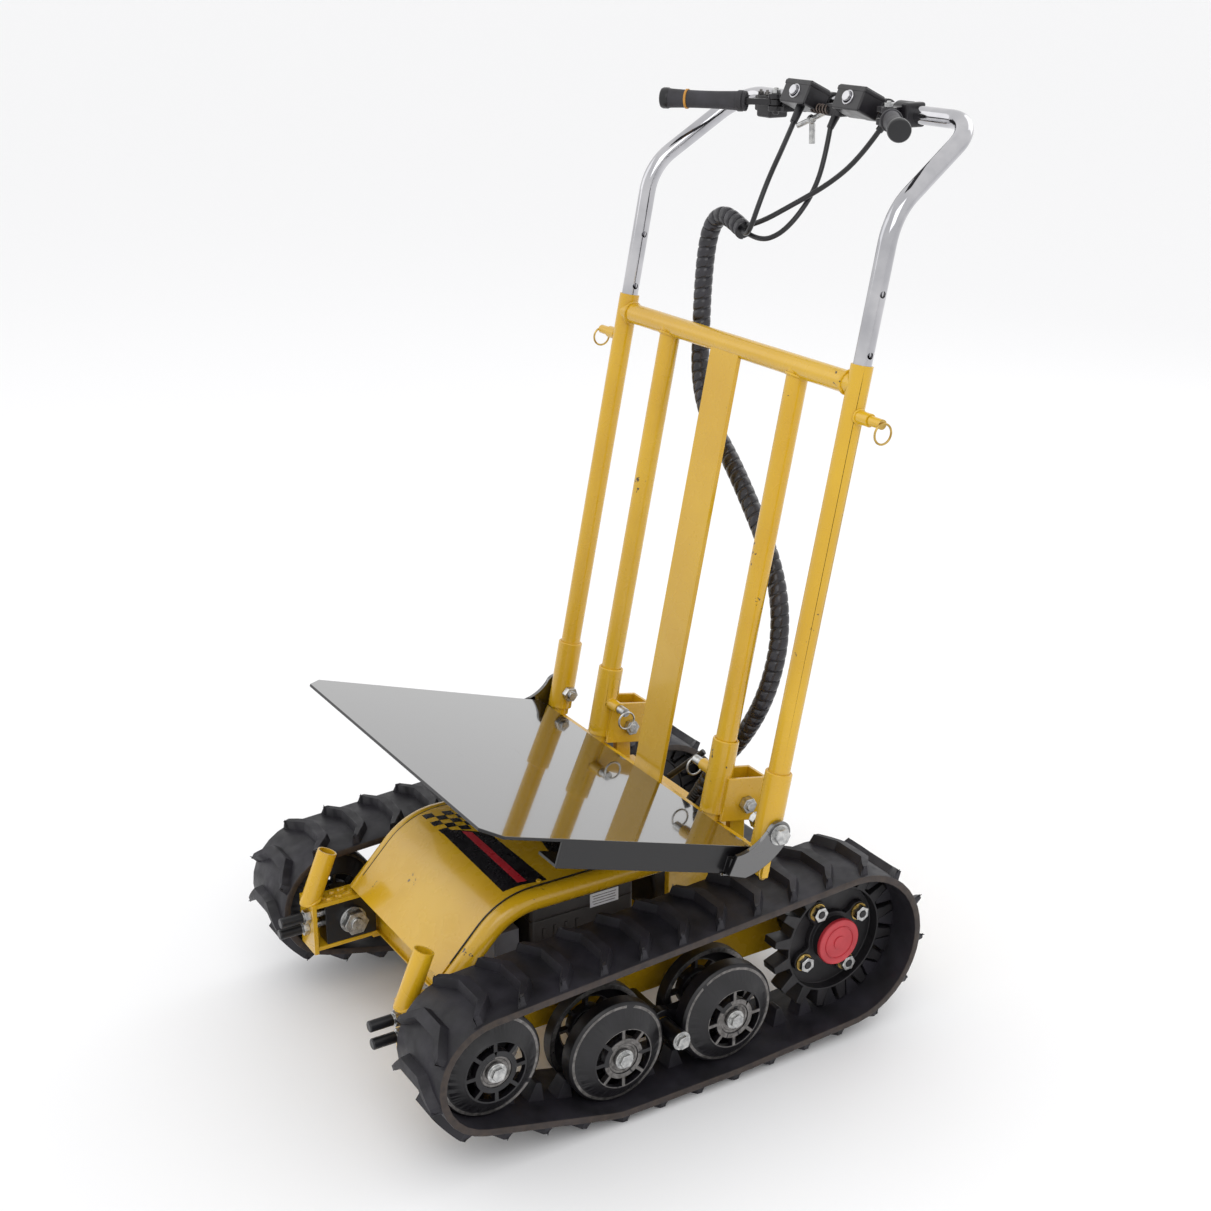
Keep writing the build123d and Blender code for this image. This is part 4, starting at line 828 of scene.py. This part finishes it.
def sticker(name, corners, finish, above=0.3, cuts=12):
    """A vinyl sheet stuck to the hood, between four corners given across and along it."""
    bpy.ops.object.select_all(action="DESELECT")
    bpy.ops.mesh.primitive_grid_add(x_subdivisions=cuts, y_subdivisions=cuts, size=1)
    piece = bpy.context.object
    a, b, c, d = [Vector(corner) for corner in corners]
    for vertex in piece.data.vertices:
        u, v = vertex.co.x + 0.5, vertex.co.y + 0.5
        flat = (a * (1 - u) + b * u) * (1 - v) + (d * (1 - u) + c * u) * v
        vertex.co = at(*on_hood(flat.x, flat.y, above))
    settle(piece, name)
    bpy.ops.object.mode_set(mode="EDIT")
    bpy.ops.mesh.select_all(action="SELECT")
    bpy.ops.mesh.normals_make_consistent(inside=False)
    bpy.ops.object.mode_set(mode="OBJECT")
    if piece.data.polygons[0].normal.z < 0:
        piece.data.flip_normals()
    thick = piece.modifiers.new("vinyl", "SOLIDIFY")
    thick.thickness = 0.25 * MM
    thick.offset = -1
    bpy.ops.object.modifier_apply(modifier=thick.name)
    bpy.ops.object.shade_smooth_by_angle(angle=radians(40))
    return finish_piece(piece, finish, "chassis")


sticker("hood_band", ((-70, -192), (112, -197), (121, -140), (-25, -143)), VINYL)
sticker("hood_stripe", ((-46, -171), (108, -174), (111, -163), (-37, -161)), RED_VINYL, above=0.55)
sticker("hood_band_rear", ((28, -96), (90, -108), (121, -70), (50, -58)), VINYL)
squares = []
for row in range(4):
    for column in range(5):
        if (row + column) % 2:
            continue
        x, y = -120 + 12 * column + 4.5 * row, -193 + 12 * row
        corners = ((x, y), (x + 12, y), (x + 16.5, y + 12), (x + 4.5, y + 12))
        squares.append(sticker(f"checker_{row}_{column}", corners, VINYL, cuts=3))
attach(join(squares, "hood_checker"), "chassis")

for side_name, side in SIDES:
    # painted shade: a black wire laid just under the hood's face, along the dark gap where the sheet meets
    # its rail, standing in for the shade in that gap
    gap = [on_hood(side * 125.9, 20 - k * 12, -0.4) for k in range(28)]
    seam = meshed(line_curve("hood_gap_shade_" + side_name, gap, 0.9))
    finish_piece(seam, PVC, "chassis")
    for k, y in enumerate((-150, -60, 5)):
        seat = on_hood(side * 118, y, 0)
        foot, head = (seat[0], seat[1], seat[2] - 1), (seat[0], seat[1], seat[2] + 1.6)
        rivet = rod(f"hood_rivet_{side_name}_{k}", foot, head, 3.4, 0.9, 20)
        finish_piece(rivet, YELLOW, "chassis")
    # battery label: a white card with plain ruled lines
    card = block("battery_label_" + side_name, (side * 112.2, -52, 208), (0.5, 42, 19), chamfer=0.15)
    finish_piece(card, WHITE, "chassis")
    for k in range(4):
        middle, across = (side * 112.5, -52, 213.5 - 3.8 * k), (0.3, 35 - 3 * (k % 2), 1.1)
        rule = block(f"battery_label_rule_{side_name}_{k}", middle, across, chamfer=0.1)
        finish_piece(rule, DARK_STEEL, "chassis")
    # ribs on the battery case's end
    for k in range(4):
        rib = block(
            f"battery_rib_{side_name}_{k}", (side * 112.6, -140 + 16 * k, 150), (2.4, 4.5, 80), chamfer=0.9
        )
        finish_piece(rib, ABS_CASE, "chassis")

# ---------------------------------------------------------------- back frame welds, rings and trim

for side_name, side in SIDES:
    joint = [
        on_frame(side * 138.6 + 14.2 * cos(a), 14.2 * sin(a), 551 + 4 * abs(sin(a)))
        for a in around(18)
    ]
    finish_piece(weld("inner_weld_" + side_name, joint, 1.8, closed=True), YELLOW, "back_frame")
    joint = [
        on_frame(side * (235.5 - 2.5 * abs(cos(a))), 14.2 * cos(a), 564 + 14.2 * sin(a))
        for a in around(18)
    ]
    finish_piece(weld("crossbar_weld_" + side_name, joint, 1.9, closed=True), YELLOW, "back_frame")
    joint = [
        on_frame(side * (264.4 - 1.6 * abs(cos(a))), 8.6 * cos(a), 530 + 8.6 * sin(a))
        for a in around(12)
    ]
    finish_piece(weld("pin_weld_" + side_name, joint, 1.4, closed=True), YELLOW, "back_frame")
    # the sleeves' rolled top edges
    for tube_x, label in ((250, "outer"), (138.6, "inner")):
        top, along = on_frame(side * tube_x, 0, 86.4), (0, sin(LEAN), cos(LEAN))
        rim = hoop(f"sleeve_rim_{label}_{side_name}", top, along, 15.4, 1.3)
        finish_piece(rim, YELLOW, "back_frame")
    # plate arm: rough bead where it joins the channel, and the ring that hangs below
    seam = [on_plate(side * 261.5, -12 - 24 * (k / 7), -36.3) for k in range(8)]
    finish_piece(weld("arm_weld_" + side_name, seam, 2.2), BLACK, "plate")
    seam = [on_plate(side * 264, -8, -6 - 28 * (k / 7)) for k in range(8)]
    finish_piece(weld("arm_seam_" + side_name, seam, 2.4), BLACK, "plate")
    ring = hoop("hanging_ring_" + side_name, (side * 262, 86, 276), (1, 0.35, 0), 10.5, 1.3)
    finish_piece(ring, YELLOW_ZINC, "back_frame")
    inner, outer = on_frame(side * 273.5, 0, 14.7), on_frame(side * 275, 0, 14.7)
    washer = rod("pivot_washer_" + side_name, inner, outer, 13.5, 0.4)
    finish_piece(washer, ZINC, "back_frame")

# ---------------------------------------------------------------- handle fittings

LEVER_FOOT = Vector((112, 344, 1148))
LEVER_END = Vector((235, 257, 1148))
lever_way = (LEVER_END - LEVER_FOOT).normalized()


def on_lever(side, along, up=0.0):
    place = LEVER_FOOT + lever_way * along
    return (side * place.x, place.y, place.z + up)


BOX_TILT = radians(25)
BOX_FRONT_Y = 336.0
BOX_TOP_Z = 1180.9


def on_box(x, back, out):
    """A place across a control box's lid, back along it and out of it."""
    behind = back * cos(BOX_TILT) + out * sin(BOX_TILT)
    above = out * cos(BOX_TILT) - back * sin(BOX_TILT)
    return (x, BOX_FRONT_Y + behind, BOX_TOP_Z + above)


for side_name, side in SIDES:
    body = "lever_" + side_name
    if side < 0:  # only the right grip has an orange band
        band = rod("grip_band_right", on_lever(side, 121), on_lever(side, 124), 12.9, 0.5)
        finish_piece(band, BAND, body)
    finish_piece(
        rod("grip_collar_" + side_name, on_lever(side, 44), on_lever(side, 52), 13.6, 1.6), GRIP, body
    )
    finish_piece(
        rod("grip_cap_" + side_name, on_lever(side, 146), on_lever(side, 158.5), 13.7, 3.2), PVC, body
    )
    pivot = nut("lever_pivot_nut_" + side_name, (side * 112, 344, 1159), (side * 112, 344, 1164), 5.5)
    finish_piece(pivot, ZINC, "handle")
    for x in (32.5, 73.5):
        for back_place in (5, 29):
            foot, head = on_box(side * x, back_place, -0.6), on_box(side * x, back_place, 1.0)
            screw = rod(f"lid_screw_{side_name}_{x}_{back_place}", foot, head, 2.2, 0.5, 16)
            finish_piece(screw, DARK_STEEL, "handle")
    lid_centre = on_box(side * 53, 17, -4.2)
    lid_size, lid_turn = (53.6, 35.6, 6.0), (-BOX_TILT, 0, 0)
    lid = block("box_lid_" + side_name, lid_centre, lid_size, lid_turn, chamfer=1.6, segments=3)
    finish_piece(lid, CONTROL_ABS, "handle")
    middle, along = on_box(side * 53, -0.6, -15.5), (0, -cos(BOX_TILT), sin(BOX_TILT))
    bezel = hoop("button_bezel_" + side_name, middle, along, 8.3, 1.2)
    finish_piece(bezel, CHROME, "handle")

# the far clamp on the bar, stepped, with its two bolts
clamp = block("bar_clamp", (-144, 362, 1141), (30, 30, 30), chamfer=3, segments=3)
finish_piece(clamp, CONTROL_ABS, "handle")
step = block("bar_clamp_step", (-164, 365, 1143), (13, 26, 20), chamfer=2.5, segments=3)
finish_piece(step, CONTROL_ABS, "handle")
for k, x in enumerate((-152, -138)):
    finish_piece(nut(f"bar_clamp_bolt_{k}", (x, 349, 1155), (x, 349, 1159), 3.6), DARK_STEEL, "handle")
near_clamp = block("bar_clamp_near", (124, 372, 1150), (12, 30, 29), chamfer=3, segments=3)
finish_piece(near_clamp, CONTROL_ABS, "handle")

# cable adjuster: a threaded barrel, its knurled nut, the return spring and a ferrule
finish_piece(rod("adjuster_barrel", (-60, 341, 1123), (-14, 349, 1143), 3.4, 0.6, 20), ZINC, "handle")
finish_piece(nut("adjuster_nut", (-40, 344.4, 1131.6), (-35, 345.3, 1133.8), 5.4), ZINC, "handle")
finish_piece(rod("ferrule", (-42, 350, 1127), (-41, 350, 1102), 3.9, 0.7, 20), ZINC, "handle")
coil = [
    (-38 + 36 * t / 72, 346 + 5.2 * cos(t * pi / 6), 1147 + 5.2 * sin(t * pi / 6)) for t in range(73)
]
finish_piece(meshed(line_curve("return_spring", coil, 1.2, resolution=4)), BROWN_STEEL, "handle")
finish_piece(rod("spring_core", (-40, 346, 1147), (0, 346, 1147), 2.6, 0.5, 16), PVC, "handle")

# boots where the cables enter the controls
for name, start, end, radius in (
    ("boot_right", (-39.4, 318, 1130), (-48, 337, 1152), 4.6),
    ("boot_left", (8, 339, 1126), (6, 351, 1143), 4.5),
    ("boot_lead", (87.2, 351, 1128.5), (94, 362, 1146), 4.6),
):
    finish_piece(rod(name, start, end, radius, 0.9, 20, end_radius=radius + 1.2), PVC, "handle")
cable_block = block("cable_block", (3, 356, 1147), (30, 24, 15), chamfer=2.2, segments=3)
finish_piece(cable_block, CONTROL_ABS, "handle")

# rod and corrugated conduits behind the frame's foot
finish_piece(rod("cable_stay", (1, 118, 288), (34, 152, 330), 4.2, 1.0, 20), PVC, "chassis")
for k, (foot, top) in enumerate((((46, 122, 262), (70, 138, 316)), ((66, 118, 258), (84, 134, 300)))):
    foot, top = Vector(foot), Vector(top)
    ribs = [
        hoop(f"rib_{k}_{i}", foot.lerp(top, i / 15), top - foot, 8.0, 2.1, 24) for i in range(16)
    ]
    ribs.append(rod(f"conduit_core_{k}", tuple(foot), tuple(top), 7.6, 0.8, 24))
    finish_piece(join(ribs, f"conduit_{k}"), PVC, "chassis")

# ---------------------------------------------------------------- harness and cables

HARNESS = (
    (-30, 240, 1003), (-58, 244, 1012), (-88, 247, 1016),
    (-112, 248, 1000), (-121, 246, 968), (-119, 240, 915),
    (-112, 234, 862), (-101, 225, 806), (-62, 213, 758), (2, 207, 716), (58, 199, 672), (106, 192, 630),
    (143, 184, 584), (162, 174, 533), (162, 164, 482), (149, 156, 434), (122, 150, 386), (88, 143, 342),
    (64, 134, 304), (58, 132, 268),
)
CABLES = {
    "cable_right": (
        (-28.5, 236, 1004), (-8, 226, 1001), (8, 222, 1012),
        (12, 230, 1040), (4, 252, 1074), (-14, 284, 1104),
        (-40, 320, 1132),
    ),
    "cable_left": (
        (-28.5, 247, 998), (-6, 248, 993), (16, 260, 1002), (26, 280, 1024), (22, 308, 1054), (12, 330, 1090),
        (8, 340, 1128),
    ),
    "switch_lead": (
        (-24.8, 242, 1010), (-4, 246, 1016), (18, 278, 1038),
        (44, 314, 1064), (70, 338, 1096), (88, 352, 1130),
    ),
}

harness = line_curve("harness_bundle", HARNESS, 10.9, resolution=16)
harness.data.materials.append(PVC)
probe = line_curve("probe", HARNESS, 0, resolution=24)
mesh = bpy.data.meshes.new_from_object(probe)
middle = [v.co.copy() for v in mesh.vertices]
bpy.data.objects.remove(probe)
bpy.data.meshes.remove(mesh)

WRAP_PITCH = 13.6
WRAP_STEPS = 22
WRAP_PROFILE = ((-0.475, 10.9), (-0.45, 11.6), (-0.1, 12.0), (0.25, 11.9), (0.425, 11.5), (0.45, 10.9))
lengths = [0.0]
for a, b in zip(middle, middle[1:]):
    lengths.append(lengths[-1] + (b - a).length)


def on_line(distance):
    """The harness's middle and direction at a distance along it."""
    distance = min(max(distance, 0), lengths[-1])
    i = next(k for k in range(len(lengths) - 1) if lengths[k + 1] >= distance)
    share = (distance - lengths[i]) / max(lengths[i + 1] - lengths[i], 1e-9)
    return middle[i].lerp(middle[i + 1], share), (middle[i + 1] - middle[i]).normalized()


count = int(lengths[-1] / (WRAP_PITCH * MM) * WRAP_STEPS)
strip_points, strip_faces = [], []
for k in range(count + 1):
    turn = 2 * pi * k / WRAP_STEPS
    for offset, radius in WRAP_PROFILE:
        spot, along = on_line(lengths[-1] * k / count + offset * WRAP_PITCH * MM)
        level = along.cross(Vector((0.35, 1, 0))).normalized()
        upright = along.cross(level).normalized()
        strip_points.append(spot + (level * cos(turn) + upright * sin(turn)) * radius * MM)
width = len(WRAP_PROFILE)
for k in range(count):
    for j in range(width - 1):
        a = k * width + j
        strip_faces.append((a, a + 1, a + 1 + width, a + width))
strip = bpy.data.meshes.new("harness_wrap")
strip.from_pydata(strip_points, [], strip_faces)
wrapping = bpy.data.objects.new("harness_wrap", strip)
bpy.context.scene.collection.objects.link(wrapping)
only(wrapping)
bpy.ops.object.shade_smooth()
wrapping.data.materials.append(WRAP)
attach(wrapping, "back_frame")
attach(harness, "back_frame")
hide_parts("harness")
for node, points in CABLES.items():
    cable = line_curve(node + "_pvc", points, 3.25, resolution=14)
    cable.data.materials.append(PVC)
    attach(cable, "handle")
    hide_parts(node)

# ---------------------------------------------------------------- camera, light and floor


def lamp(name, place, aim, size, watts, colour="#ffffff"):
    """A soft square studio light."""
    data = bpy.data.lights.new(name, "AREA")
    data.size = size
    data.energy = watts
    data.color = linear(colour)[:3]
    light = bpy.data.objects.new(name, data)
    bpy.context.scene.collection.objects.link(light)
    light.location = place
    light.rotation_euler = (Vector(aim) - Vector(place)).to_track_quat("-Z", "Y").to_euler()
    return light


bpy.ops.object.select_all(action="DESELECT")
bpy.ops.mesh.primitive_plane_add(size=80, location=(0, 0, -0.0005))
floor = settle(bpy.context.object, "floor")
paper, tree, shader, place = start_finish("floor_paper", Base_Color=linear("#f6f6f7"), Roughness=0.9)
floor.data.materials.append(paper)
lamps = [
    lamp("key", (2.6, -1.2, 3.2), (0, 0, 0.4), 2.2, 26),
    lamp("fill", (-2.6, -2.4, 2.6), (0, 0, 0.4), 2.6, 14),
    lamp("rim", (-0.6, 3.0, 2.4), (0, 0, 0.5), 2.2, 14),
]

world = bpy.data.worlds.new("studio")
world.use_nodes = True
bpy.context.scene.world = world
bpy.context.scene.view_settings.view_transform = "Standard"
world.node_tree.nodes["Background"].inputs["Color"].default_value = linear("#ffffff")
world.node_tree.nodes["Background"].inputs["Strength"].default_value = 1.0

AZIMUTH, ELEVATION, ROLL = radians(58.52), radians(20.58), radians(0.07)
camera_data = bpy.data.cameras.new("camera")
camera_data.sensor_width = 36
camera_data.lens = 53.69
camera_data.clip_end = 60
camera = bpy.data.objects.new("camera", camera_data)
bpy.context.scene.collection.objects.link(camera)
back = Vector((sin(AZIMUTH) * cos(ELEVATION), -cos(AZIMUTH) * cos(ELEVATION), sin(ELEVATION)))
camera.location = (1.8306, -1.10275, 1.3591)
camera.rotation_euler = (
    ((-back).to_track_quat("-Z", "Y")).to_matrix() @ Matrix.Rotation(ROLL, 3, "Z")
).to_euler()
bpy.context.scene.camera = camera
